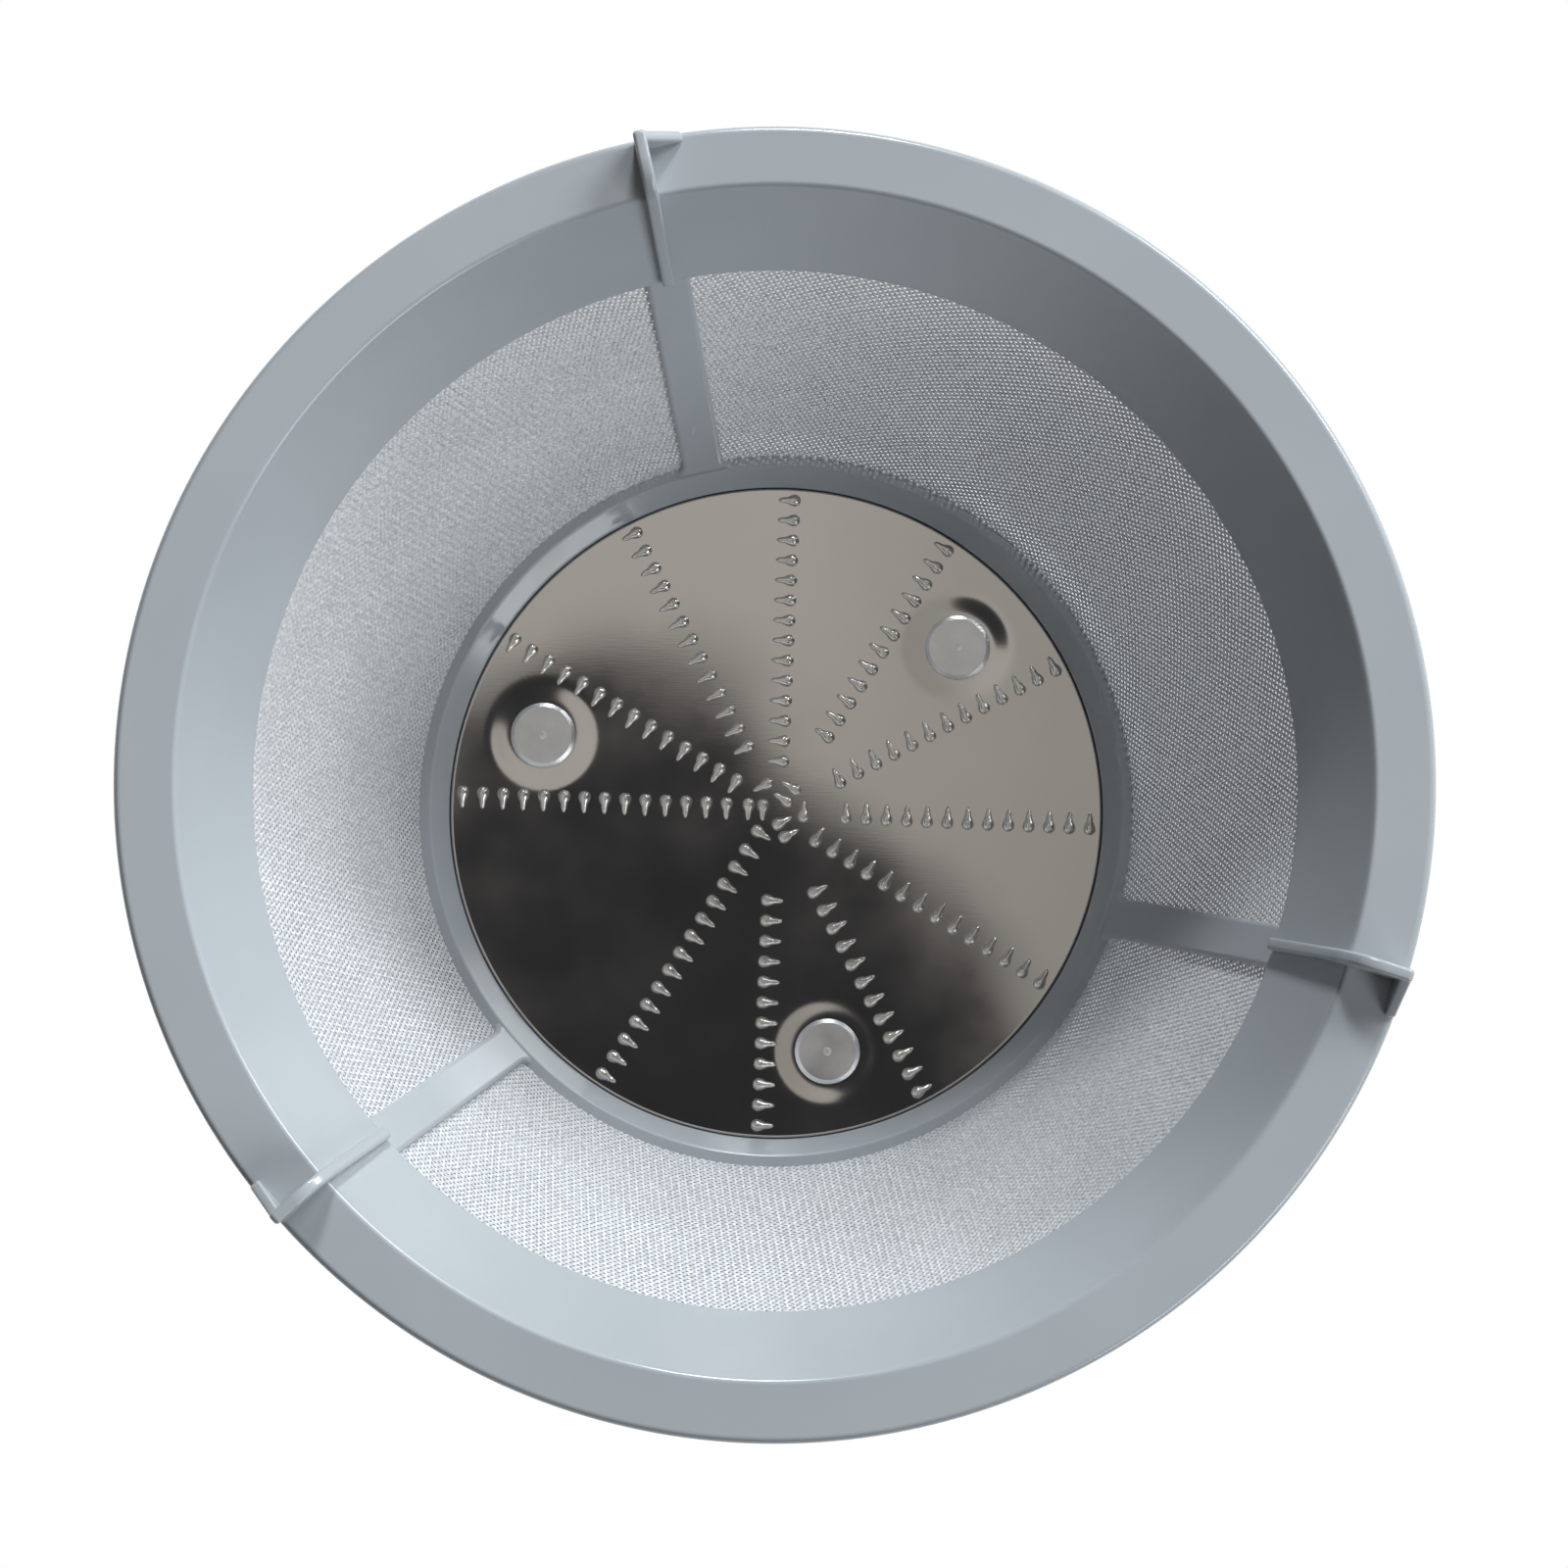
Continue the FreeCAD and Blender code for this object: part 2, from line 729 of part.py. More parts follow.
def write(pieces):
    """Write each piece to its own file."""
    os.makedirs("parts", exist_ok=True)
    for piece in pieces:
        piece.Shape.exportStep(f"parts/{piece.Label}.step")
        print(piece.Label, len(piece.Shape.Solids), "solids", round(piece.Shape.Volume, 1), "mm3")


pieces = [basket_frame(), drive_hub(), grating_disc(), rivets()]
for number, name in enumerate(("right", "left", "lower")):
    pieces.append(mesh_panel(f"mesh_panel_{name}", number))
document.recompute()
check(pieces)
write(pieces)
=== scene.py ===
"""Looks of a juicer's mesh screen, built round its CAD frame.

The moulding, the woven mesh, the grating disc with its teeth, the rivets and the stage.
"""
import math
import typing

import bpy
import numpy as np
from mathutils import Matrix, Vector


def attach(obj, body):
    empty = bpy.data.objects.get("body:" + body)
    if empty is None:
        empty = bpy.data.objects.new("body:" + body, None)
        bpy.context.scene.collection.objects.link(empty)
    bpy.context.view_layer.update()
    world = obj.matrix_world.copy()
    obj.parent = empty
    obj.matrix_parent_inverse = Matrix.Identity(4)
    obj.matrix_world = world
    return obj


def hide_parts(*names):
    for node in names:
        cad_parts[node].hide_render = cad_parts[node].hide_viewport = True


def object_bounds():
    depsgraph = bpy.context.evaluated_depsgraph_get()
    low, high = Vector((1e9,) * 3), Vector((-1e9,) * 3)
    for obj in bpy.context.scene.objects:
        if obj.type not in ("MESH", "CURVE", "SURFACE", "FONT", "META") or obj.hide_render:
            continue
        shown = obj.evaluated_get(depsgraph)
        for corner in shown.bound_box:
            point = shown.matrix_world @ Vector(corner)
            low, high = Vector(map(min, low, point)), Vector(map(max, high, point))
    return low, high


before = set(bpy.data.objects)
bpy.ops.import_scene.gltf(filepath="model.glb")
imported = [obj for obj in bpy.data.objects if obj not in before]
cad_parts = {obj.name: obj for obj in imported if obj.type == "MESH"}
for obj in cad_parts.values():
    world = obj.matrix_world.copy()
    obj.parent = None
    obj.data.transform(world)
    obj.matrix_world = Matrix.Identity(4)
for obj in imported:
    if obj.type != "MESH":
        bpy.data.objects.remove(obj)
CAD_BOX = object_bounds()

bl_info = {
    "name": "Juicer mesh screen",
    "version": (1, 0, 0),
    "blender": (4, 5, 0),
    "location": "View3D > Sidebar > Mesh screen",
    "description": "Builds the looks of a juicer's mesh screen round its CAD frame",
    "category": "Object",
}

# least reach of the CAD box to its four sides, which the flange keeps to
RIM_REACH = min(-CAD_BOX[0][0], -CAD_BOX[0][1], CAD_BOX[1][0], CAD_BOX[1][1])
RIBS = 3
RIVETS = 3
PANELS = ("right", "left", "lower")
# teeth in each row of the disc, anticlockwise from the row after the first rivet
TEETH_IN_ROW = (12, 14, 13, 14, 14, 0, 14, 12, 12, 14, 13, 13)
# rings of teeth at the centre, each as its number of teeth and its share of the centre ring's radius
CENTRE_RINGS = ((6, 1.0), (3, 0.48))


class Lamp(typing.NamedTuple):
    """A soft lamp: direction round and up from the rim in degrees, sides in metres, power in watts."""

    azimuth: float
    elevation: float
    width: float
    height: float
    power: float


LAMPS = {
    "key_lamp": Lamp(46.0, 24.0, 1.6, 1.1, 106.0),
    "far_lamp": Lamp(86.0, 27.0, 0.6, 0.5, 86.0),
    "near_lamp": Lamp(-42.0, 26.0, 2.1, 1.4, 66.0),
}

WHITE = (1.0, 1.0, 1.0, 1.0)

# Middle and radius of the dark parts of the card over the camera, in metres
DARK_PARTS = ((-0.057, 0.032, 0.063), (-0.020, -0.042, 0.096))

# How finely the surfaces are drawn
ROUND_STEPS = 288
SHEET_STEPS = 360
RIVET_STEPS = 72
ARC_STEPS = 6
SHEET_ARC_STEPS = 10
EDGE_STEPS = 4
SHEET_ROWS_ABOVE = 108
SHEET_ROWS_BELOW = 42
TOOTH_ROWS = 8
TOOTH_SIDES = 8
WIRE_SIDES = 4
# width in metres of the flat strip beside a rounding
SHADING_RIM = 0.00006
# digits kept of a sine, so that half a turn gives nought
SINE_DIGITS = 6

# Shares of a tooth's length for its first and last ring of points, and of the way from the head's middle
# to the end for the tail's middle
TOOTH_SPAN = (0.09, 0.93)
TAIL_PLACE = 0.42

# A gusset's rounding against the other edges, a rivet's shank against its tail, its brim against its head
GUSSET_EDGE_SHARE = 0.75
SHANK_SHARE = 0.62
BRIM_SHARE = 0.75

# Laps that a gusset runs into the flange, and roundings from the disc's edge to the end of its flat face
GUSSET_LAPS = 1.5
FLAT_END = 1.2

# Parts of the range of a noise that a finish is spread over
NOISE_RANGE = (0.3, 0.7)
SMEAR_RANGE = (0.35, 0.7)
RUB_RANGE = (0.45, 0.8)

# Numbers of the colour sockets of a mix node, whose names are not unique
MIX_FIRST = 6
MIX_SECOND = 7
MIX_RESULT = 2


def length(name, description, default):
    """A length in metres that a user may change."""
    return bpy.props.FloatProperty(
        name=name, description=description, default=default, unit="LENGTH", precision=5
    )


def angle(name, description, degrees):
    """An angle that a user may change."""
    return bpy.props.FloatProperty(
        name=name, description=description, default=math.radians(degrees), subtype="ANGLE"
    )


def colour(name, description, default):
    """A colour that a user may change."""
    return bpy.props.FloatVectorProperty(
        name=name, description=description, default=default, subtype="COLOR", min=0.0, max=1.0
    )


def factor(name, description, default):
    """A plain number that a user may change."""
    return bpy.props.FloatProperty(name=name, description=description, default=default)


class BasketSizes(bpy.types.PropertyGroup):
    """Sizes and colour of the moulded basket."""

    rim_radius: length("Rim radius", "Outer radius of the flange", RIM_REACH)
    mouth_radius: length("Mouth radius", "Inner radius of the flange", 0.0643)
    rim_top: length("Rim top", "Level of the flange's top", 0.0658)
    flange_thickness: length("Flange thickness", "Thickness of the flange", 0.0022)
    cone_angle: angle("Cone angle", "Slope of the side against the axis of spin", 25.0)
    wall: length("Wall", "Thickness of the side, measured along the radius", 0.003)
    window_foot: length("Window foot", "Level of the mesh's lower edge", 0.0181)
    window_top: length("Window top", "Level of the mesh's upper edge", 0.052)
    disc_seat: length("Disc seat", "Level of the top of the disc's seat", 0.0141)
    ring_ledge: length("Ring ledge", "Step outside the wall at the top of the lower ring", 0.0016)
    floor_top: length("Floor top", "Level of the floor under the disc", 0.0124)
    foot_height: length("Foot height", "Height of the skirt under the floor", 0.010)
    skirt_radius: length("Skirt radius", "Outer radius of the skirt", 0.038)
    skirt_wall: length("Skirt wall", "Thickness of the skirt", 0.002)
    rim_rounding: length("Rim rounding", "Rounding of the flange's outer edges", 0.0008)
    mouth_rounding: length("Mouth rounding", "Rounding of the mouth's edge", 0.0007)
    edge_rounding: length("Edge rounding", "Rounding of fin, window and ring edges", 0.0004)
    first_rib: angle("First rib", "Direction of the first rib", 342.0)
    rib_width: length("Rib width", "Width of a rib", 0.005)
    rib_inset: length("Rib inset", "Step from the band back to a rib's face", 0.0003)
    rib_rounding: length("Rib rounding", "Rounding of a rib's edges", 0.0006)
    rib_flare: length("Rib flare", "Rounding where a rib leaves the lower ring", 0.0015)
    fin_height: length("Fin height", "Height of a fin over the flange", 0.0042)
    fin_thickness: length("Fin thickness", "Thickness of a fin", 0.0014)
    fin_setback: length("Fin setback", "Step from the flange's edge to a fin's end", 0.00015)
    fin_bend: length("Fin bend", "Rounding between a fin's level and sloping edges", 0.005)
    fin_end: length("Fin end", "Height of a fin's blunt lower end over the band", 0.0012)
    gusset_length: length("Gusset length", "Length of a gusset along the rim", 0.0045)
    gusset_thickness: length("Gusset thickness", "Thickness of a gusset", 0.0012)
    lap: length("Lap", "How far a joined form runs into what carries it", 0.0006)
    plastic: colour("Plastic", "Colour of the moulding", (0.405, 0.430, 0.452))


class MeshSizes(bpy.types.PropertyGroup):
    """Sizes and colour of the woven mesh."""

    pitch: length("Pitch", "Distance between neighbouring wires", 0.00062)
    wire_width: length("Wire width", "Half width of a rolled wire", 0.00019)
    wire_depth: length("Wire depth", "Half thickness of a rolled wire", 0.00006)
    recess: length("Recess", "Distance from the band's face to the middle of the mesh", 0.00142)
    sway: length("Sway", "How far a wire swings to either side of the mesh at a crossing", 0.00006)
    seat: length("Seat", "How far the mesh runs into the moulding above and below", 0.0011)
    rib_core: angle("Rib core", "Angle left free of mesh inside a rib", 3.2)
    bias: angle("Bias", "Angle of the wires against the middle of a panel", 45.0)
    wire: colour("Wire", "Colour of the wire", (0.63, 0.635, 0.65))


class DiscSizes(bpy.types.PropertyGroup):
    """Sizes and colour of the grating disc."""

    radius: length("Radius", "Radius of the disc", 0.04010)
    top: length("Top", "Level of the disc's face", 0.0141)
    foot: length("Foot", "Level of the edge's foot", 0.0124)
    sheet: length("Sheet", "Thickness of the sheet", 0.0005)
    rounding: length("Rounding", "Rounding of the disc's edge", 0.00035)
    dimple_circle: length("Dimple circle", "Radius of the circle of dimples", 0.0302)
    dimple_radius: length("Dimple radius", "Radius where a dimple begins", 0.0072)
    dimple_floor: length("Dimple floor", "Radius of a dimple's flat floor", 0.0037)
    dimple_depth: length("Dimple depth", "Depth of a dimple", 0.00024)
    first_dimple: angle("First dimple", "Direction of the first dimple", 42.0)
    first_row: angle("First row", "Direction of the first row of teeth", 57.5)
    tooth_ring: length("Tooth ring", "Radius of the outermost teeth", 0.0386)
    tooth_pitch: length("Tooth pitch", "Distance between teeth along a row", 0.0025)
    tooth_length: length("Tooth length", "Length of a tooth", 0.0028)
    head_radius: length("Head radius", "Radius of a tooth's round head", 0.00078)
    tail_width: length("Tail width", "Half width of a tooth's tail", 0.00040)
    head_height: length("Head height", "Height of a tooth's head", 0.00075)
    tail_height: length("Tail height", "Height of a tooth's tail", 0.00042)
    centre_ring: length("Centre ring", "Radius of the ring of teeth at the centre", 0.0034)
    steel: colour("Steel", "Colour of the polished sheet", (0.60, 0.585, 0.56))


class RivetSizes(bpy.types.PropertyGroup):
    """Sizes and colour of the rivets."""

    seat: length("Seat", "Level of the dimple's floor", 0.01386)
    head_radius: length("Head radius", "Radius of a head", 0.0040)
    head_height: length("Head height", "Height of a head", 0.00036)
    flat_radius: length("Flat radius", "Radius of the flat on a head", 0.0035)
    pip: length("Pip", "Radius of the mark in the middle of a head", 0.0005)
    rounding: length("Rounding", "Rounding of a head's edge", 0.00015)
    tail_radius: length("Tail radius", "Radius of a tail under the floor", 0.0032)
    tail_end: length("Tail end", "Level of the lower end of a tail", 0.0088)
    aluminium: colour("Aluminium", "Colour of the rivets", (0.72, 0.73, 0.735))


class StageLook(bpy.types.PropertyGroup):
    """Camera, lamps, card and floor."""

    camera_distance: length("Camera distance", "Distance from the rim's plane", 0.348)
    camera_tilt: angle("Camera tilt", "Tilt of the view from straight down", 4.9)
    aim_x: length("Aim right", "Point on the rim's plane in the picture's middle", 0.00098)
    aim_y: length("Aim up", "Point on the rim's plane in the picture's middle", -0.00117)
    lens: factor("Lens", "Focal length in millimetres on a 36 mm sensor", 74.6)
    lamp_distance: length("Lamp distance", "Distance of the lamps", 3.5)
    lamp_light: colour("Lamp light", "Colour of the lamps", (0.915, 0.965, 1.0))
    world_strength: factor("World", "Strength of the even light", 0.065)
    card_level: length("Card level", "Level of the card over the camera", 0.62)
    card_size: length("Card size", "Side of the card over the camera", 1.1)
    card_light: colour("Card light", "Pale part of the card", (0.56, 0.535, 0.505))
    card_dark: colour("Card dark", "Dark part of the card", (0.034, 0.034, 0.037))
    dim_reach: length("Dim reach", "Distance over which the card dims to the right", 0.10)
    dim_share: factor("Dim share", "Share of its light that the card keeps there", 0.74)
    dark_edge: length("Dark edge", "Half width of the soft edge of a dark part", 0.007)
    floor: colour("Floor", "Colour of the floor", (0.50, 0.50, 0.50))
    floor_size: length("Floor size", "Side of the floor", 24.0)
    shadow_reach: length("Shadow reach", "Radius within which the floor is seen in its own colour", 0.064)
    white_reach: length("White reach", "Radius from which the floor is seen as white", 0.0775)


# Surfaces


def unit(vector):
    """A vector of length one in the same direction."""
    return vector / np.linalg.norm(vector)


def grid_faces(rows, columns, wrap_rows=False, wrap_columns=False):
    """Quads of a grid of points numbered row by row; a wrapped side joins its last line to its first."""
    row = np.arange(rows if wrap_rows else rows - 1)
    column = np.arange(columns if wrap_columns else columns - 1)
    row, column = np.meshgrid(row, column, indexing="ij")
    row_after = (row + 1) % rows
    column_after = (column + 1) % columns
    corners = [
        row * columns + column,
        row_after * columns + column,
        row_after * columns + column_after,
        row * columns + column_after,
    ]
    return np.stack(corners, -1).reshape(-1, 4)


def rounded(corners, steps=ARC_STEPS):
    """An outline of straight lines with an arc of the given radius at each corner (x, y, radius).

    One more point stands on the line just beyond each end of an arc, so that the shading stays flat
    along the line.
    """
    places = np.array([corner[:2] for corner in corners])
    radii = [corner[2] for corner in corners]
    parts = []
    for number, (corner, radius) in enumerate(zip(places, radii)):
        if radius == 0:
            parts.append(corner[None])
            continue
        back = unit(places[number - 1] - corner)
        ahead = unit(places[(number + 1) % len(corners)] - corner)
        half = 0.5 * math.acos(np.clip(back @ ahead, -1, 1))
        trim = radius / math.tan(half)
        centre = corner + unit(back + ahead) * radius / math.sin(half)
        arm = corner + back * trim - centre
        side = math.copysign(1.0, -back[0] * ahead[1] + back[1] * ahead[0])
        turn = side * (math.pi - 2 * half) * np.linspace(0, 1, steps + 1)
        arc = np.stack([
            centre[0] + arm[0] * np.cos(turn) - arm[1] * np.sin(turn),
            centre[1] + arm[0] * np.sin(turn) + arm[1] * np.cos(turn),
        ], -1)
        before = corner + back * (trim + SHADING_RIM)
        after = corner + ahead * (trim + SHADING_RIM)
        parts.append(np.vstack([before, arc, after]))
    return np.vstack(parts)


def swept(profile, steps):
    """A profile of radius and level at each of the even steps of a turn.

    A point is x = radius times cosine, y = radius times sine, z = level.
    """
    turn = np.linspace(0, 2 * math.pi, steps, endpoint=False)[:, None]
    radius, level = profile[None, :, 0], profile[None, :, 1]
    return np.stack(np.broadcast_arrays(radius * np.cos(turn), radius * np.sin(turn), level), -1)


def ring_shell(profile, steps=ROUND_STEPS):
    """A closed profile turned about the axis of spin."""
    points = swept(profile, steps)
    return points.reshape(-1, 3), [grid_faces(steps, len(profile), True, True)]


def solid_shell(profile, steps=ROUND_STEPS):
    """A profile from axis to axis turned about it, each end closed by a fan of triangles on one pole."""
    inner = profile[1:-1]
    points = swept(inner, steps).reshape(-1, 3)
    poles = np.array([[0, 0, profile[0, 1]], [0, 0, profile[-1, 1]]])
    first = np.arange(steps) * len(inner)
    following = np.roll(first, -1)
    last = first + len(inner) - 1
    last_following = following + len(inner) - 1
    low_pole = np.full(steps, steps * len(inner))
    fans = np.vstack([
        np.stack([low_pole, following, first], -1),
        np.stack([last, last_following, low_pole + 1], -1),
    ])
    return np.vstack([points, poles]), [grid_faces(steps, len(inner), True, False), fans]


def plate_shell(outline, thickness, rounding, place):
    """A flat plate with rounded edges.

    The outline is repeated at rising depths. Near each face it is drawn in by rounding times (1 - sin a) at
    the depth rounding times (1 - cos a), and each face is closed by one flat cap. The function place turns
    x, y and depth into points.
    """
    rise = np.linspace(0, math.pi / 2, EDGE_STEPS + 1)
    inset = np.concatenate([[rounding + SHADING_RIM], rounding * (1 - np.sin(rise))])
    depth = np.concatenate([[0], rounding * (1 - np.cos(rise))])
    inset = np.concatenate([inset, inset[::-1]])
    depth = np.concatenate([depth, thickness - depth[::-1]])
    before = outline - np.roll(outline, 1, 0)
    after = np.roll(outline, -1, 0) - outline
    before /= np.linalg.norm(before, axis=1, keepdims=True)
    after /= np.linalg.norm(after, axis=1, keepdims=True)
    outward = np.stack([before[:, 1] + after[:, 1], -before[:, 0] - after[:, 0]], -1)
    outward /= 1 + np.sum(before * after, 1, keepdims=True)
    drawn = outline[None] - inset[:, None, None] * outward[None]
    points = place(drawn[..., 0], drawn[..., 1], np.broadcast_to(depth[:, None], drawn.shape[:2]))
    rows, columns = drawn.shape[:2]
    sides = grid_faces(rows, columns, False, True)[:, ::-1]
    ring = np.arange(columns)
    caps = np.stack([ring[::-1], ring + (rows - 1) * columns])
    return points.reshape(-1, 3), [sides, caps]


def turned(shell, turn):
    """A shell turned about the axis of spin."""
    points, faces = shell
    cosine, sine = math.cos(turn), math.sin(turn)
    x, y, z = points.T
    return np.stack([x * cosine - y * sine, x * sine + y * cosine, z], -1), faces


def moved(shell, x, y):
    """A shell moved across the floor."""
    points, faces = shell
    return points + np.array([x, y, 0.0]), faces


def add_piece(name, shells, nodes, finish):
    """Put shells into one smooth mesh at the origin, in place of CAD nodes, and give it its finish."""
    starts = np.cumsum([0] + [len(points) for points, faces in shells])
    groups = [group + start for (points, faces), start in zip(shells, starts) for group in faces]
    loops = np.concatenate([group.ravel() for group in groups])
    totals = np.concatenate([np.full(len(group), group.shape[1]) for group in groups])
    points = np.vstack([points for points, faces in shells])
    mesh = bpy.data.meshes.new(name)
    mesh.vertices.add(len(points))
    mesh.vertices.foreach_set("co", points.astype(np.float32).ravel())
    mesh.loops.add(len(loops))
    mesh.loops.foreach_set("vertex_index", loops.astype(np.int32))
    mesh.polygons.add(len(totals))
    mesh.polygons.foreach_set("loop_start", (np.cumsum(totals) - totals).astype(np.int32))
    mesh.update(calc_edges=True)
    if mesh.validate():
        raise RuntimeError(f"{name} has faulty faces")
    mesh.shade_smooth()
    mesh.materials.append(finish)
    piece = bpy.data.objects.new(name, mesh)
    bpy.context.scene.collection.objects.link(piece)
    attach(piece, "root")
    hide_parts(*nodes)
    return piece


# Finishes


class Bench:
    """A new material and short ways to add its nodes."""

    def __init__(self, name):
        self.material = bpy.data.materials.new(name)
        self.material.use_nodes = True
        self.tree = self.material.node_tree
        self.shader = self.tree.nodes["Principled BSDF"]
        self.output = self.tree.nodes["Material Output"]
        self.place = self.add("ShaderNodeTexCoord").outputs["Object"]

    def add(self, kind, **values):
        """A node, with the named sockets or properties set; a socket given as a value is linked."""
        node = self.tree.nodes.new(kind)
        for name, value in values.items():
            if hasattr(node, name):
                setattr(node, name, value)
                continue
            socket = node.inputs[name.replace("_", " ")]
            self.set(socket, value)
        return node

    def set(self, socket, value):
        """Link a socket to another, or give it a plain value."""
        if isinstance(value, bpy.types.NodeSocket):
            self.tree.links.new(value, socket)
        else:
            socket.default_value = value

    def noise(self, scale, detail, stretch=None):
        """Noise over the piece's own coordinates, in waves per metre, with its axes scaled by stretch."""
        place = self.place
        if stretch is not None:
            place = self.add("ShaderNodeMapping", Vector=place, Scale=stretch).outputs["Vector"]
        return self.add("ShaderNodeTexNoise", Vector=place, Scale=scale, Detail=detail).outputs["Fac"]

    def spread(self, value, low, high, to_low=0.0, to_high=1.0):
        """A value carried from one range to another, held at its ends."""
        node = self.add(
            "ShaderNodeMapRange", Value=value, From_Min=low, From_Max=high, To_Min=to_low, To_Max=to_high
        )
        return node.outputs["Result"]

    def combine(self, operation, first, second):
        """The sum, product or larger of two values."""
        node = self.add("ShaderNodeMath", operation=operation)
        self.set(node.inputs[0], first)
        self.set(node.inputs[1], second)
        return node.outputs["Value"]

    def distance(self, place):
        """Distance of a place from the origin of its coordinates."""
        node = self.add("ShaderNodeVectorMath", operation="LENGTH")
        self.set(node.inputs[0], place)
        return node.outputs["Value"]

    def blend(self, share, first, second):
        """A mix of two colours."""
        node = self.add("ShaderNodeMix", data_type="RGBA")
        self.set(node.inputs["Factor"], share)
        self.set(node.inputs[MIX_FIRST], first)
        self.set(node.inputs[MIX_SECOND], second)
        return node.outputs[MIX_RESULT]

    def mottle(self, share, tone, dull, bright):
        """A colour between a duller and a brighter shade of a tone."""
        return self.blend(share, shade(tone, dull), shade(tone, bright))

    def bump(self, height, strength, distance, normal=None):
        """A bump from a height, over an earlier bump if one is given."""
        node = self.add("ShaderNodeBump", Height=height, Strength=strength, Distance=distance)
        if normal is not None:
            self.set(node.inputs["Normal"], normal)
        return node.outputs["Normal"]

    def finish(self, **sockets):
        """Set the shader's sockets and return the material."""
        for name, value in sockets.items():
            self.set(self.shader.inputs[name.replace("_", " ")], value)
        return self.material


def shade(tone, share):
    """A colour with its brightness multiplied by a share, as red, green, blue, alpha."""
    return (tone[0] * share, tone[1] * share, tone[2] * share, 1.0)


def plastic_finish(tone):
    """Semi-gloss moulded plastic: cloudy tone, a fine skin, uneven gloss and faint rubbing marks."""
    bench = Bench("moulded_plastic")
    cloud = bench.noise(scale=38.0, detail=3.0)
    skin = bench.noise(scale=2600.0, detail=3.0)
    rub = bench.noise(scale=260.0, detail=4.0, stretch=(1.0, 0.16, 0.5))
    tint = bench.mottle(bench.spread(cloud, *NOISE_RANGE), tone, dull=0.965, bright=1.03)
    gloss = bench.spread(cloud, *NOISE_RANGE, to_low=0.17, to_high=0.23)
    marks = bench.spread(rub, *RUB_RANGE, to_high=0.07)
    rough = bench.combine("ADD", gloss, marks)
    relief = bench.bump(skin, strength=0.05, distance=0.00006)
    relief = bench.bump(cloud, strength=0.05, distance=0.0008, normal=relief)
    return bench.finish(Base_Color=tint, Roughness=rough, Normal=relief, IOR=1.5)


def wire_finish(tone):
    """Rolled stainless wire: painted glints as fine brighter and duller spots, slow patches and an uneven
    gloss.
    """
    bench = Bench("woven_wire")
    patch = bench.spread(bench.noise(scale=70.0, detail=3.0), *NOISE_RANGE)
    # Painted glints: fine spots make the wire's colour brighter or duller at random, standing for glints of
    # light on the weave
    glint_share = bench.spread(bench.noise(scale=2600.0, detail=1.0), *NOISE_RANGE)
    drawn = bench.noise(scale=5200.0, detail=2.0)
    painted_dim_spots = bench.mottle(patch, tone, dull=0.72, bright=0.80)
    painted_glint_spots = bench.mottle(patch, tone, dull=1.16, bright=1.26)
    tint = bench.blend(glint_share, painted_dim_spots, painted_glint_spots)
    gloss = bench.spread(drawn, *NOISE_RANGE, to_low=0.48, to_high=0.60)
    relief = bench.bump(drawn, strength=0.08, distance=0.00005)
    return bench.finish(Base_Color=tint, Metallic=0.2, Roughness=gloss, Normal=relief)


def steel_finish(tone):
    """Mirror-polished sheet: a slow waviness, hair scratches and smears in the gloss."""
    bench = Bench("polished_steel")
    wave = bench.noise(scale=28.0, detail=1.0)
    smear = bench.noise(scale=90.0, detail=4.0)
    hair = bench.noise(scale=420.0, detail=3.0, stretch=(1.0, 14.0, 1.0))
    tint = bench.mottle(bench.spread(smear, *SMEAR_RANGE), tone, dull=0.97, bright=1.02)
    gloss = bench.spread(smear, *SMEAR_RANGE, to_low=0.07, to_high=0.12)
    relief = bench.bump(wave, strength=0.35, distance=0.0006)
    relief = bench.bump(hair, strength=0.015, distance=0.00005, normal=relief)
    return bench.finish(Base_Color=tint, Metallic=1.0, Roughness=gloss, Normal=relief)


def pressed_finish(tone):
    """Steel that the press has stretched: a duller, uneven gloss over a fine grain."""
    bench = Bench("pressed_steel")
    cloud = bench.noise(scale=700.0, detail=3.0)
    grain = bench.noise(scale=5200.0, detail=2.0)
    tint = bench.mottle(bench.spread(cloud, *NOISE_RANGE), tone, dull=0.90, bright=1.10)
    gloss = bench.spread(cloud, *NOISE_RANGE, to_low=0.14, to_high=0.24)
    relief = bench.bump(grain, strength=0.10, distance=0.00004)
    return bench.finish(Base_Color=tint, Metallic=1.0, Roughness=gloss, Normal=relief)


def aluminium_finish(tone):
    """Satin aluminium with a fine pressed grain."""
    bench = Bench("rivet_aluminium")
    grain = bench.noise(scale=2100.0, detail=4.0)
    cloud = bench.noise(scale=260.0, detail=3.0)
    tint = bench.mottle(bench.spread(cloud, *NOISE_RANGE), tone, dull=0.93, bright=1.04)
    gloss = bench.spread(cloud, *NOISE_RANGE, to_low=0.28, to_high=0.38)
    relief = bench.bump(grain, strength=0.25, distance=0.00006)
    return bench.finish(Base_Color=tint, Metallic=1.0, Roughness=gloss, Normal=relief)


# The moulding


def cone_radius(basket, level):
    """Radius of the basket's inside at a level: the mouth's, less the depth times the cone's tangent."""
    return basket.mouth_radius - (basket.rim_top - level) * math.tan(basket.cone_angle)


def rim_shell(basket):
    """Band and flange as one closed profile turned about the axis of spin."""
    underside = basket.rim_top - basket.flange_thickness
    edge = basket.edge_rounding
    profile = rounded([
        (cone_radius(basket, basket.window_top), basket.window_top, edge),
        (cone_radius(basket, basket.window_top) + basket.wall, basket.window_top, edge),
        (cone_radius(basket, underside) + basket.wall, underside, basket.mouth_rounding),
        (basket.rim_radius, underside, basket.rim_rounding),
        (basket.rim_radius, basket.rim_top, basket.rim_rounding),
        (basket.mouth_radius, basket.rim_top, basket.mouth_rounding),
    ])
    return ring_shell(profile)


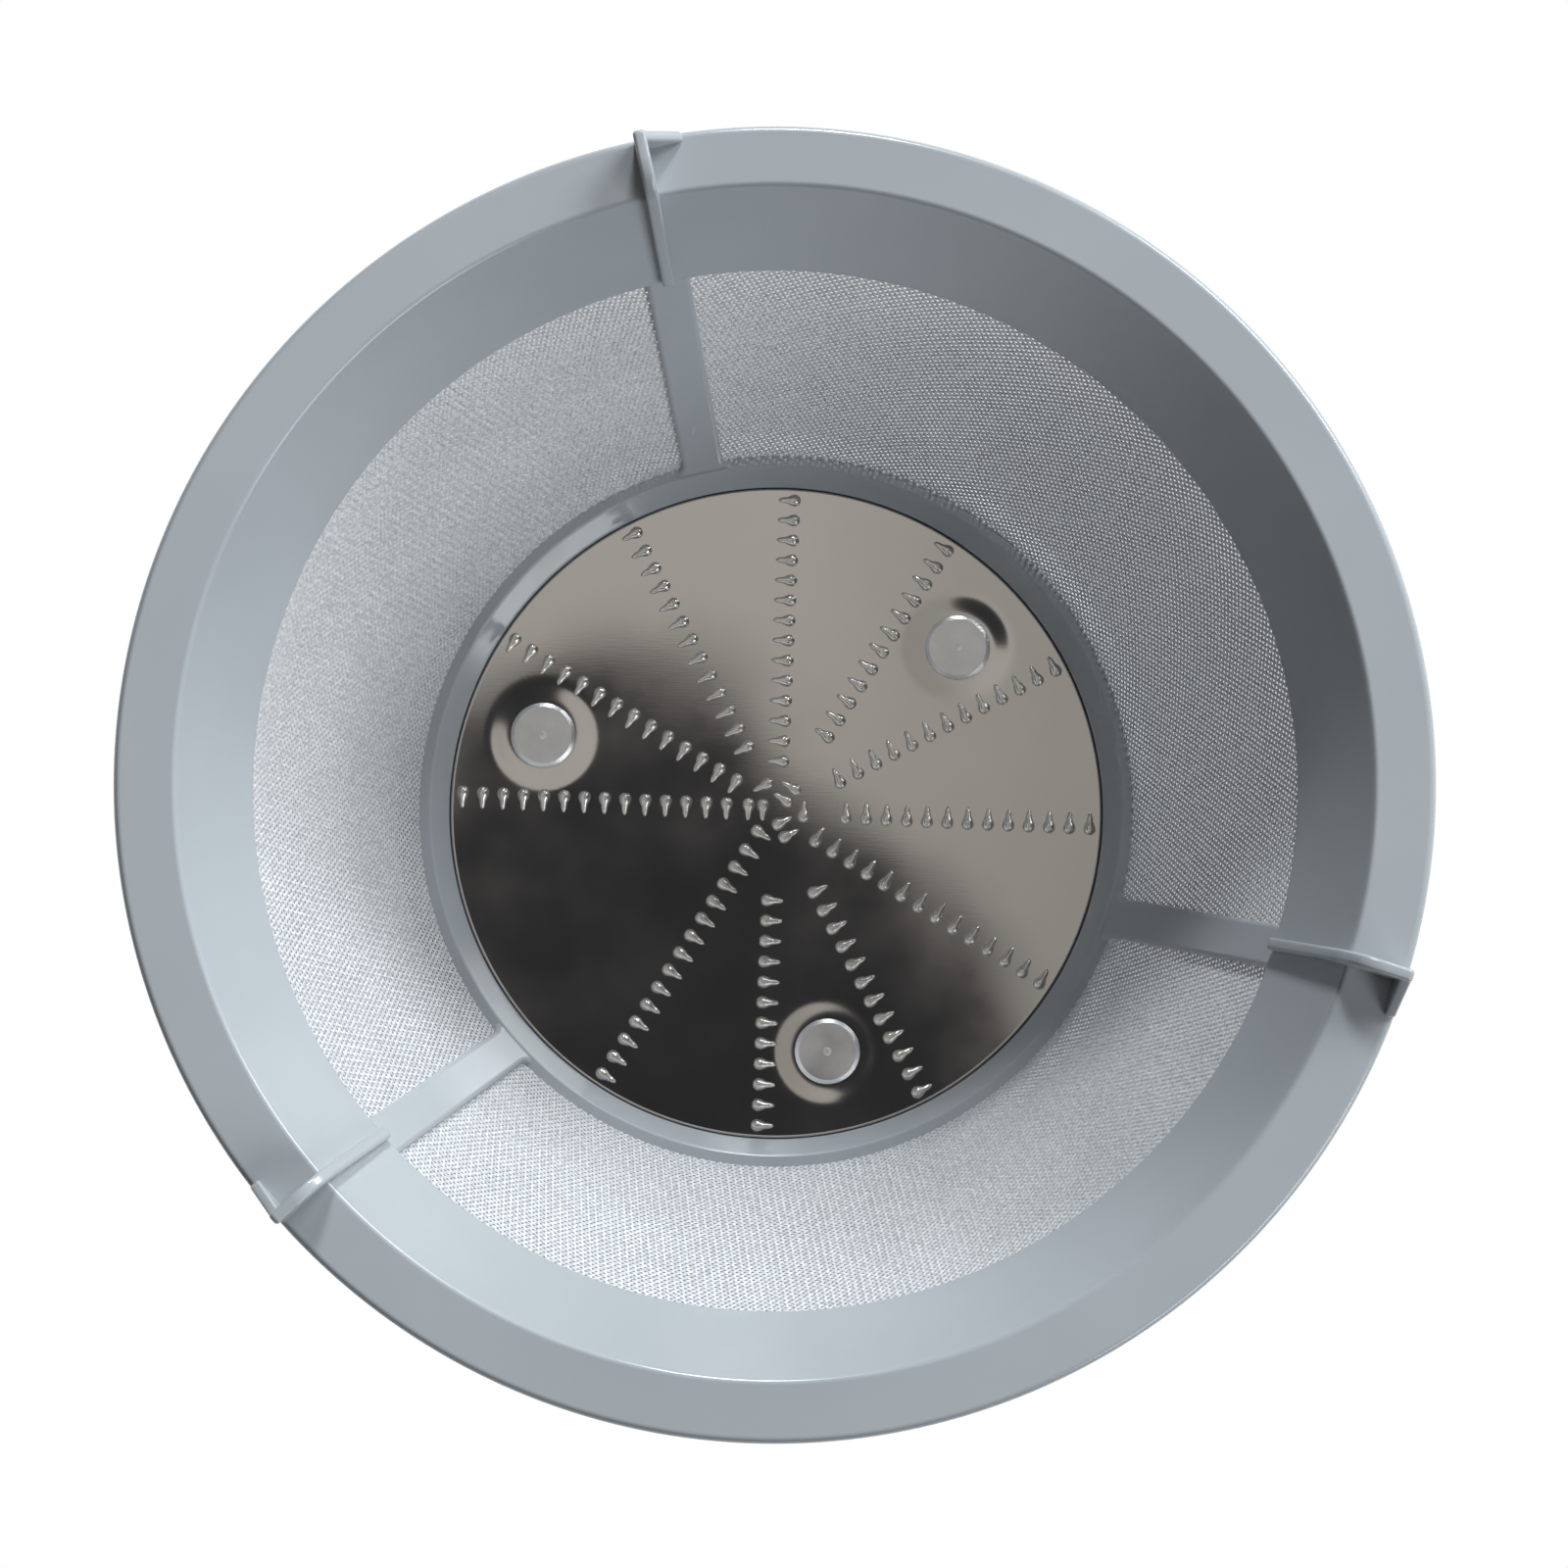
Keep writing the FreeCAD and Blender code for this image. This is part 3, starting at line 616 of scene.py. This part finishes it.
def cup_shell(basket):
    """Floor, skirt and lower ring as one profile from axis to axis."""
    edge = basket.edge_rounding
    skirt_inside = basket.skirt_radius - basket.skirt_wall
    seat = cone_radius(basket, basket.disc_seat)
    ring_foot = cone_radius(basket, basket.foot_height) + basket.wall
    ring_top = cone_radius(basket, basket.window_foot)
    profile = rounded([
        (0.0, basket.foot_height, 0),
        (skirt_inside, basket.foot_height, edge),
        (skirt_inside, 0.0, edge),
        (basket.skirt_radius, 0.0, edge),
        (basket.skirt_radius, basket.foot_height, edge),
        (ring_foot, basket.foot_height, edge),
        (ring_top + basket.wall + basket.ring_ledge, basket.window_foot - basket.ring_ledge, edge),
        (ring_top + basket.wall - basket.ring_ledge / 2, basket.window_foot, edge),
        (ring_top, basket.window_foot, edge),
        (seat, basket.disc_seat, edge / 3),
        (seat, basket.floor_top, edge),
        (0.0, basket.floor_top, 0),
    ])
    return solid_shell(profile)


def rib_shell(basket):
    """A bar up the cone's side, with its outline on the slope and its depth along the slope's normal."""
    cosine, sine = math.cos(basket.cone_angle), math.sin(basket.cone_angle)
    half = basket.rib_width / 2
    edge = basket.rib_rounding
    corner = edge + SHADING_RIM * 3
    flare = half + basket.rib_flare + basket.lap + corner * 2
    foot = (basket.window_foot - basket.rim_top) / cosine
    top = (basket.window_top - basket.rim_top) / cosine
    outline = rounded([
        (half, top + basket.lap * 2, corner),
        (-half, top + basket.lap * 2, corner),
        (-half, foot, basket.rib_flare),
        (-flare, foot, corner),
        (-flare, foot - basket.lap * 3, corner),
        (flare, foot - basket.lap * 3, corner),
        (flare, foot, corner),
        (half, foot, basket.rib_flare),
    ])
    start = basket.mouth_radius + basket.rib_inset

    def place(across, up, depth):
        radius = start + up * sine + depth * cosine
        level = basket.rim_top + up * cosine - depth * sine
        return np.stack([radius, across, level], -1)

    return plate_shell(outline, (basket.wall - basket.rib_inset * 2) * cosine, edge, place)


def fin_shell(basket):
    """An upright plate along the radius: level over the flange, then down the band to a blunt end."""
    edge = basket.edge_rounding
    end_level = basket.window_top + basket.lap
    end_radius = cone_radius(basket, end_level)
    inwards, upwards = -math.cos(basket.cone_angle), math.sin(basket.cone_angle)
    corner = edge + SHADING_RIM * 3
    outer = basket.rim_radius - basket.fin_setback
    top = basket.rim_top + basket.fin_height
    sunk = basket.rim_top - basket.lap
    outline = rounded([
        (outer, sunk, corner),
        (outer, top, corner),
        (basket.mouth_radius, top, basket.fin_bend),
        (end_radius + inwards * basket.fin_end, end_level + upwards * basket.fin_end, corner),
        (end_radius - inwards * basket.lap * 2, end_level - upwards * basket.lap * 2, corner),
        (basket.mouth_radius + basket.lap * 2, sunk, corner),
    ])

    def place(radius, level, depth):
        return np.stack([radius, basket.fin_thickness / 2 - depth, level], -1)

    return plate_shell(outline, basket.fin_thickness, edge, place)


def gusset_shell(basket):
    """A sloping wall along the rim's edge, across the radius, clockwise of a fin's outer end."""
    edge = basket.edge_rounding * GUSSET_EDGE_SHARE
    corner = edge + SHADING_RIM * 3
    outer = basket.rim_radius - basket.fin_setback
    top = basket.rim_top + basket.fin_height
    sunk = basket.rim_top - basket.lap * GUSSET_LAPS
    outline = rounded([
        (basket.fin_thickness / 4, sunk, corner),
        (basket.fin_thickness / 4, top - edge / 2, corner),
        (-basket.gusset_length, basket.rim_top + edge, corner),
        (-basket.gusset_length, sunk, corner),
    ])
    start = outer - basket.gusset_thickness

    def place(across, level, depth):
        return np.stack([start + depth, across, level], -1)

    return plate_shell(outline, basket.gusset_thickness, edge, place)


class BuildBasket(bpy.types.Operator):
    """Build the moulded basket with its ribs, fins and gussets"""

    bl_idname = "object.build_basket"
    bl_label = "Build basket"

    def execute(self, context):
        basket = context.scene.basket_sizes
        finish = plastic_finish(basket.plastic)
        shells = [rim_shell(basket), cup_shell(basket)]
        for number in range(RIBS):
            turn = basket.first_rib + number * 2 * math.pi / RIBS
            shells += [
                turned(rib_shell(basket), turn),
                turned(fin_shell(basket), turn),
                turned(gusset_shell(basket), turn),
            ]
        add_piece("basket_moulding", shells, ["basket_frame"], finish)
        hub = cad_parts["drive_hub"]
        hub.data.materials.clear()
        hub.data.materials.append(finish)
        return {"FINISHED"}


# The mesh


def wire_shell(basket, mesh, turn, bias, first_over):
    """One family of parallel wires of a panel's weave.

    The panel is drawn flat, as the sector that the cone unrolls to, with wires a pitch apart at the bias.
    Each wire has a flattened ring of four points at every crossing, lifted by the sway where it goes
    over and lowered where it goes under. Flat distance rho and angle psi then roll up to the radius
    rho sin(cone), the turn psi / sin(cone) and the level rho cos(cone) above the cone's apex.
    """
    cosine, sine = math.cos(basket.cone_angle), math.sin(basket.cone_angle)
    apex = basket.rim_top - (basket.mouth_radius + mesh.recess) * cosine / sine
    inner = (basket.window_foot - mesh.seat - apex) / cosine
    outer = (basket.window_top + mesh.seat - apex) / cosine
    half_sector = (math.pi / RIBS - mesh.rib_core / 2) * sine
    along = np.array([math.cos(bias), math.sin(bias)])
    across = np.array([-math.sin(bias), math.cos(bias)])
    reach = int(outer / mesh.pitch) + 1
    index = np.arange(-reach, reach + 1)
    wire, crossing = np.meshgrid(index, index, indexing="ij")
    u = mesh.pitch * (wire * across[0] + crossing * along[0])
    v = mesh.pitch * (wire * across[1] + crossing * along[1])
    rho, psi = np.hypot(u, v), np.arctan2(v, u)
    inside = (rho > inner) & (rho < outer) & (np.abs(psi) < half_sector)
    paired = inside[:, :-1] & inside[:, 1:]
    inside = np.pad(paired, ((0, 0), (0, 1))) | np.pad(paired, ((0, 0), (1, 0)))
    number = np.cumsum(inside).reshape(inside.shape) - 1
    over = np.where((wire + crossing) % 2 == 0, first_over, -first_over)[inside]
    rho, psi = rho[inside], psi[inside]
    phi = turn + psi / sine
    zero = np.zeros_like(phi)
    up_slope = np.stack([sine * np.cos(phi), sine * np.sin(phi), zero + cosine], -1)
    sideways = np.stack([-np.sin(phi), np.cos(phi), zero], -1)
    outward = np.stack([cosine * np.cos(phi), cosine * np.sin(phi), zero - sine], -1)
    across_up = across[0] * np.cos(psi) + across[1] * np.sin(psi)
    across_side = -across[0] * np.sin(psi) + across[1] * np.cos(psi)
    width = across_up[:, None] * up_slope + across_side[:, None] * sideways
    middle = rho[:, None] * up_slope + np.array([0, 0, apex]) + (over * mesh.sway)[:, None] * outward
    spokes = np.arange(WIRE_SIDES) * 2 * math.pi / WIRE_SIDES
    flat = mesh.wire_width * np.cos(spokes)[None, :, None] * width[:, None]
    deep = mesh.wire_depth * np.sin(spokes)[None, :, None] * outward[:, None]
    points = (middle[:, None] + flat + deep).reshape(-1, 3)
    start = number[:, :-1][paired][:, None] * WIRE_SIDES
    end = number[:, 1:][paired][:, None] * WIRE_SIDES
    side = np.arange(WIRE_SIDES)
    after = (side + 1) % WIRE_SIDES
    sides = np.stack([start + side, end + side, end + after, start + after], -1).reshape(-1, 4)
    blank = np.zeros((len(index), 1), bool)
    begins = inside & ~np.hstack([blank, inside[:, :-1]])
    ends = inside & ~np.hstack([inside[:, 1:], blank])
    caps = np.vstack([
        number[begins][:, None] * WIRE_SIDES + side,
        number[ends][:, None] * WIRE_SIDES + side[::-1],
    ])
    return points, [sides, caps]


class BuildMesh(bpy.types.Operator):
    """Weave the wire panels between the ribs"""

    bl_idname = "object.build_mesh_panels"
    bl_label = "Weave mesh panels"

    def execute(self, context):
        basket = context.scene.basket_sizes
        mesh = context.scene.mesh_sizes
        finish = wire_finish(mesh.wire)
        for number, side in enumerate(PANELS):
            turn = basket.first_rib + (2 * number + 1) * math.pi / RIBS
            node = f"mesh_panel_{side}"
            warp = wire_shell(basket, mesh, turn, mesh.bias, 1)
            weft = wire_shell(basket, mesh, turn, mesh.bias + math.pi / 2, -1)
            for name, family in (("warp", warp), ("weft", weft)):
                piece = add_piece(f"{name}_{side}", [family], [node], finish)
                piece.data.shade_flat()
        return {"FINISHED"}


# The grating disc


def dimple_drop(disc, x, y):
    """How far the dimples lower the sheet: half a cosine wave down to a flat floor."""
    drop = np.zeros_like(x)
    for number in range(RIVETS):
        turn = disc.first_dimple + number * 2 * math.pi / RIVETS
        away = np.hypot(x - disc.dimple_circle * math.cos(turn), y - disc.dimple_circle * math.sin(turn))
        slope = np.clip((away - disc.dimple_floor) / (disc.dimple_radius - disc.dimple_floor), 0, 1)
        drop += disc.dimple_depth * 0.5 * (1 + np.cos(math.pi * slope))
    return drop


def sheet_shell(disc):
    """The pan of the disc as a profile from axis to axis, both faces lowered together at the dimples."""
    cut_edge = disc.sheet / 5
    edge = rounded([
        (0.0, disc.top - disc.sheet, 0),
        (disc.radius - disc.sheet, disc.top - disc.sheet, cut_edge),
        (disc.radius - disc.sheet, disc.foot, cut_edge),
        (disc.radius, disc.foot, cut_edge),
        (disc.radius, disc.top, disc.rounding),
        (0.0, disc.top, 0),
    ], SHEET_ARC_STEPS)
    flat = disc.radius - disc.rounding * FLAT_END
    below = np.full((SHEET_ROWS_BELOW, 2), disc.top - disc.sheet)
    below[:, 0] = np.linspace(0, flat, SHEET_ROWS_BELOW)
    above = np.full((SHEET_ROWS_ABOVE, 2), disc.top)
    above[:, 0] = np.linspace(flat, 0, SHEET_ROWS_ABOVE)
    points, faces = solid_shell(np.vstack([below, edge[1:-1], above]), SHEET_STEPS)
    points[:, 2] -= dimple_drop(disc, points[:, 0], points[:, 1])
    return points, faces


def tooth_places(disc):
    """Radius and direction of every tooth: a pitch apart along each row, and in rings at the centre."""
    radii, turns = [], []
    for row, teeth in enumerate(TEETH_IN_ROW):
        radii.append(disc.tooth_ring - disc.tooth_pitch * np.arange(teeth))
        turns.append(np.full(teeth, disc.first_row + row * 2 * math.pi / len(TEETH_IN_ROW)))
    for teeth, share in CENTRE_RINGS:
        radii.append(np.full(teeth, disc.centre_ring * share))
        turns.append(disc.first_row + np.arange(teeth) * 2 * math.pi / teeth)
    return np.concatenate(radii), np.concatenate(turns)


def teeth_shell(disc):
    """Raised teeth, each a round head with a narrower tail behind it.

    Along a tooth, half width and height follow the larger of two half circles: the head's, and the
    tail's drawn out to an ellipse. Around it, a ring of points is raised by the height times a sine above
    the sheet and sunk a little below it. The head leads clockwise.
    """
    half = disc.tooth_length / 2
    share = 0.5 * (1 - np.cos(np.linspace(*TOOTH_SPAN, TOOTH_ROWS) * math.pi))
    along = -half + disc.tooth_length * share
    head_middle = disc.head_radius - half
    head = np.sqrt(np.clip(1 - ((along - head_middle) / disc.head_radius) ** 2, 0, 1))
    tail_middle = head_middle + TAIL_PLACE * (half - head_middle)
    tail_reach = half - tail_middle
    tail = np.sqrt(np.clip(1 - ((along - tail_middle) / tail_reach) ** 2, 0, 1))
    width = np.maximum(head * disc.head_radius, tail * disc.tail_width)
    least_width = disc.tail_width / 4
    width = np.maximum(width, least_width)
    height = np.maximum(head * disc.head_height, tail * disc.tail_height)
    least_height = disc.tail_height / 6
    height = np.maximum(height, least_height)
    spokes = np.arange(TOOTH_SIDES) * 2 * math.pi / TOOTH_SIDES
    across = width[:, None] * np.cos(spokes)
    rise = np.round(np.sin(spokes), SINE_DIGITS)
    sunk = disc.sheet / 5
    lift = np.where(rise >= 0, height[:, None] * rise, -sunk)
    radii, turns = tooth_places(disc)
    radius = radii[:, None, None] + across[None]
    behind = np.broadcast_to(along[None, :, None], radius.shape)
    cosine, sine = np.cos(turns)[:, None, None], np.sin(turns)[:, None, None]
    x = radius * cosine - behind * sine
    y = radius * sine + behind * cosine
    z = disc.top - dimple_drop(disc, x, y) + lift[None]
    count = TOOTH_ROWS * TOOTH_SIDES
    first = (np.arange(len(radii)) * count)[:, None, None]
    sides = (first + grid_faces(TOOTH_ROWS, TOOTH_SIDES, False, True)).reshape(-1, 4)
    ring = np.arange(TOOTH_SIDES)
    caps = first + np.stack([ring, ring[::-1] + count - TOOTH_SIDES])
    return np.stack([x, y, z], -1).reshape(-1, 3), [sides, caps.reshape(-1, TOOTH_SIDES)]


class BuildDisc(bpy.types.Operator):
    """Build the polished grating disc and its teeth"""

    bl_idname = "object.build_grating_disc"
    bl_label = "Build grating disc"

    def execute(self, context):
        disc = context.scene.disc_sizes
        finish = steel_finish(disc.steel)
        add_piece("disc_sheet", [sheet_shell(disc)], ["grating_disc"], finish)
        pressed = pressed_finish(disc.steel)
        add_piece("disc_teeth", [teeth_shell(disc)], ["grating_disc"], pressed)
        return {"FINISHED"}


# The rivets


def rivet_shell(basket, rivet):
    """A rivet about its own axis: a flat head with a sloping edge and a mark in its middle, shank, tail."""
    top = rivet.seat + rivet.head_height
    shank = rivet.tail_radius * SHANK_SHARE
    brim = top - rivet.head_height * BRIM_SHARE
    profile = rounded([
        (0.0, rivet.tail_end, 0),
        (rivet.tail_radius, rivet.tail_end, rivet.rounding * 3),
        (rivet.tail_radius, basket.foot_height, rivet.rounding),
        (shank, basket.foot_height, rivet.rounding),
        (shank, rivet.seat, rivet.rounding / 2),
        (rivet.head_radius, rivet.seat, rivet.rounding / 3),
        (rivet.head_radius, brim, rivet.rounding / 2),
        (rivet.flat_radius, top, rivet.rounding),
        (rivet.pip, top, rivet.pip / 2),
        (0.0, top - rivet.pip / 4, 0),
    ])
    return solid_shell(profile, RIVET_STEPS)


class BuildRivets(bpy.types.Operator):
    """Build the rivets that hold the disc"""

    bl_idname = "object.build_rivets"
    bl_label = "Build rivets"

    def execute(self, context):
        scene = context.scene
        disc = scene.disc_sizes
        shells = []
        for number in range(RIVETS):
            turn = disc.first_dimple + number * 2 * math.pi / RIVETS
            x = disc.dimple_circle * math.cos(turn)
            y = disc.dimple_circle * math.sin(turn)
            shells.append(moved(rivet_shell(scene.basket_sizes, scene.rivet_sizes), x, y))
        finish = aluminium_finish(scene.rivet_sizes.aluminium)
        add_piece("rivet_set", shells, ["rivets"], finish)
        return {"FINISHED"}


# The stage


def stage_plane(name, size, level, material):
    """A square sheet of the stage at a level."""
    half = size / 2
    corners = [(-half, -half, level), (half, -half, level), (half, half, level), (-half, half, level)]
    mesh = bpy.data.meshes.new(name)
    mesh.from_pydata(corners, [], [(0, 1, 2, 3)])
    mesh.materials.append(material)
    plane = bpy.data.objects.new(name, mesh)
    bpy.context.scene.collection.objects.link(plane)
    return plane


def floor_finish(look):
    """A pale floor that keeps the shadow close to the basket and is seen as plain white further out."""
    bench = Bench("stage_floor")
    path = bench.add("ShaderNodeLightPath").outputs
    seen = bench.combine("MAXIMUM", path["Is Camera Ray"], path["Is Glossy Ray"])
    seen = bench.combine("MAXIMUM", seen, path["Is Transmission Ray"])
    far = bench.spread(bench.distance(bench.place), look.shadow_reach, look.white_reach)
    white = bench.add("ShaderNodeEmission", Color=WHITE, Strength=1.0)
    mix = bench.add("ShaderNodeMixShader")
    bench.set(mix.inputs[0], bench.combine("MULTIPLY", seen, far))
    bench.set(mix.inputs[1], bench.shader.outputs["BSDF"])
    bench.set(mix.inputs[2], white.outputs["Emission"])
    bench.set(bench.output.inputs["Surface"], mix.outputs["Shader"])
    return bench.finish(Base_Color=shade(look.floor, 1.0), Roughness=0.8)


def card_finish(look):
    """A glowing card, dimmer to the right, pale but for round dark parts with soft edges."""
    bench = Bench("stage_card")
    across = bench.add("ShaderNodeSeparateXYZ", Vector=bench.place).outputs["X"]
    dimmer = bench.spread(across, 0.0, look.dim_reach)
    tone = bench.blend(dimmer, shade(look.card_light, 1.0), shade(look.card_light, look.dim_share))
    for right, up, radius in DARK_PARTS:
        middle = (-right, -up, -look.card_level)
        offset = bench.add("ShaderNodeMapping", Vector=bench.place, Location=middle).outputs["Vector"]
        edge = bench.spread(bench.distance(offset), radius - look.dark_edge, radius + look.dark_edge)
        tone = bench.blend(edge, shade(look.card_dark, 1.0), tone)
    glow = bench.add("ShaderNodeEmission", Color=tone, Strength=1.0)
    bench.set(bench.output.inputs["Surface"], glow.outputs["Emission"])
    return bench.material


def soft_room(look):
    """An even white light from all sides."""
    world = bpy.data.worlds.new("soft_room")
    world.use_nodes = True
    background = world.node_tree.nodes["Background"]
    background.inputs["Color"].default_value = WHITE
    background.inputs["Strength"].default_value = look.world_strength
    return world


def hang_lamp(name, lamp, look, middle):
    """A soft lamp at its distance and direction from a point, turned towards it."""
    light = bpy.data.lights.new(name, "AREA")
    light.shape = "RECTANGLE"
    light.size = lamp.width
    light.size_y = lamp.height
    light.energy = lamp.power
    light.color = look.lamp_light
    azimuth, elevation = math.radians(lamp.azimuth), math.radians(lamp.elevation)
    heading = Vector((
        math.cos(elevation) * math.cos(azimuth),
        math.cos(elevation) * math.sin(azimuth),
        math.sin(elevation),
    ))
    holder = bpy.data.objects.new(name, light)
    holder.location = middle + heading * look.lamp_distance
    holder.rotation_euler = heading.to_track_quat("Z", "Y").to_euler()
    bpy.context.scene.collection.objects.link(holder)


def set_camera(look, level):
    """The camera, aimed at a point of the rim's plane from nearly straight above."""
    lens = bpy.data.cameras.new("camera")
    lens.lens = look.lens
    camera = bpy.data.objects.new("camera", lens)
    back = Vector((0.0, -math.sin(look.camera_tilt), math.cos(look.camera_tilt)))
    camera.location = Vector((look.aim_x, look.aim_y, level)) + back * look.camera_distance
    camera.rotation_euler = (look.camera_tilt, 0.0, 0.0)
    bpy.context.scene.collection.objects.link(camera)
    bpy.context.scene.camera = camera


class BuildStage(bpy.types.Operator):
    """Set up the floor, the card, the lamps and the camera"""

    bl_idname = "object.build_stage"
    bl_label = "Build stage"

    def execute(self, context):
        scene = context.scene
        look = scene.stage_look
        rim_top = scene.basket_sizes.rim_top
        scene.view_settings.view_transform = "Standard"
        stage_plane("stage_floor", look.floor_size, 0.0, floor_finish(look))
        card = stage_plane("stage_card", look.card_size, look.card_level, card_finish(look))
        card.visible_camera = False
        card.visible_diffuse = False
        scene.world = soft_room(look)
        for name, lamp in LAMPS.items():
            hang_lamp(name, lamp, look, Vector((0.0, 0.0, rim_top)))
        set_camera(look, rim_top)
        return {"FINISHED"}


class MeshScreenPanel(bpy.types.Panel):
    """Operators and sizes of the mesh screen"""

    bl_idname = "VIEW3D_PT_mesh_screen"
    bl_label = "Mesh screen"
    bl_space_type = "VIEW_3D"
    bl_region_type = "UI"
    bl_category = "Mesh screen"

    def draw(self, context):
        for operator in OPERATORS:
            self.layout.operator(operator.bl_idname)
        for name in GROUPS:
            group = getattr(context.scene, name)
            box = self.layout.box()
            for setting in group.bl_rna.properties.keys():
                if setting not in ("rna_type", "name"):
                    box.prop(group, setting)


OPERATORS = (BuildBasket, BuildMesh, BuildDisc, BuildRivets, BuildStage)
GROUPS = {
    "basket_sizes": BasketSizes,
    "mesh_sizes": MeshSizes,
    "disc_sizes": DiscSizes,
    "rivet_sizes": RivetSizes,
    "stage_look": StageLook,
}


def register():
    """Register the groups, the operators and the panel."""
    for name, group in GROUPS.items():
        bpy.utils.register_class(group)
        setattr(bpy.types.Scene, name, bpy.props.PointerProperty(type=group))
    for operator in OPERATORS:
        bpy.utils.register_class(operator)
    bpy.utils.register_class(MeshScreenPanel)


def unregister():
    """Take the panel, the operators and the groups out again."""
    bpy.utils.unregister_class(MeshScreenPanel)
    for operator in reversed(OPERATORS):
        bpy.utils.unregister_class(operator)
    for name, group in reversed(list(GROUPS.items())):
        delattr(bpy.types.Scene, name)
        bpy.utils.unregister_class(group)


def main():
    """Build every piece and the stage."""
    register()
    bpy.ops.object.build_basket()
    bpy.ops.object.build_mesh_panels()
    bpy.ops.object.build_grating_disc()
    bpy.ops.object.build_rivets()
    bpy.ops.object.build_stage()


if __name__ == "__main__":
    main()
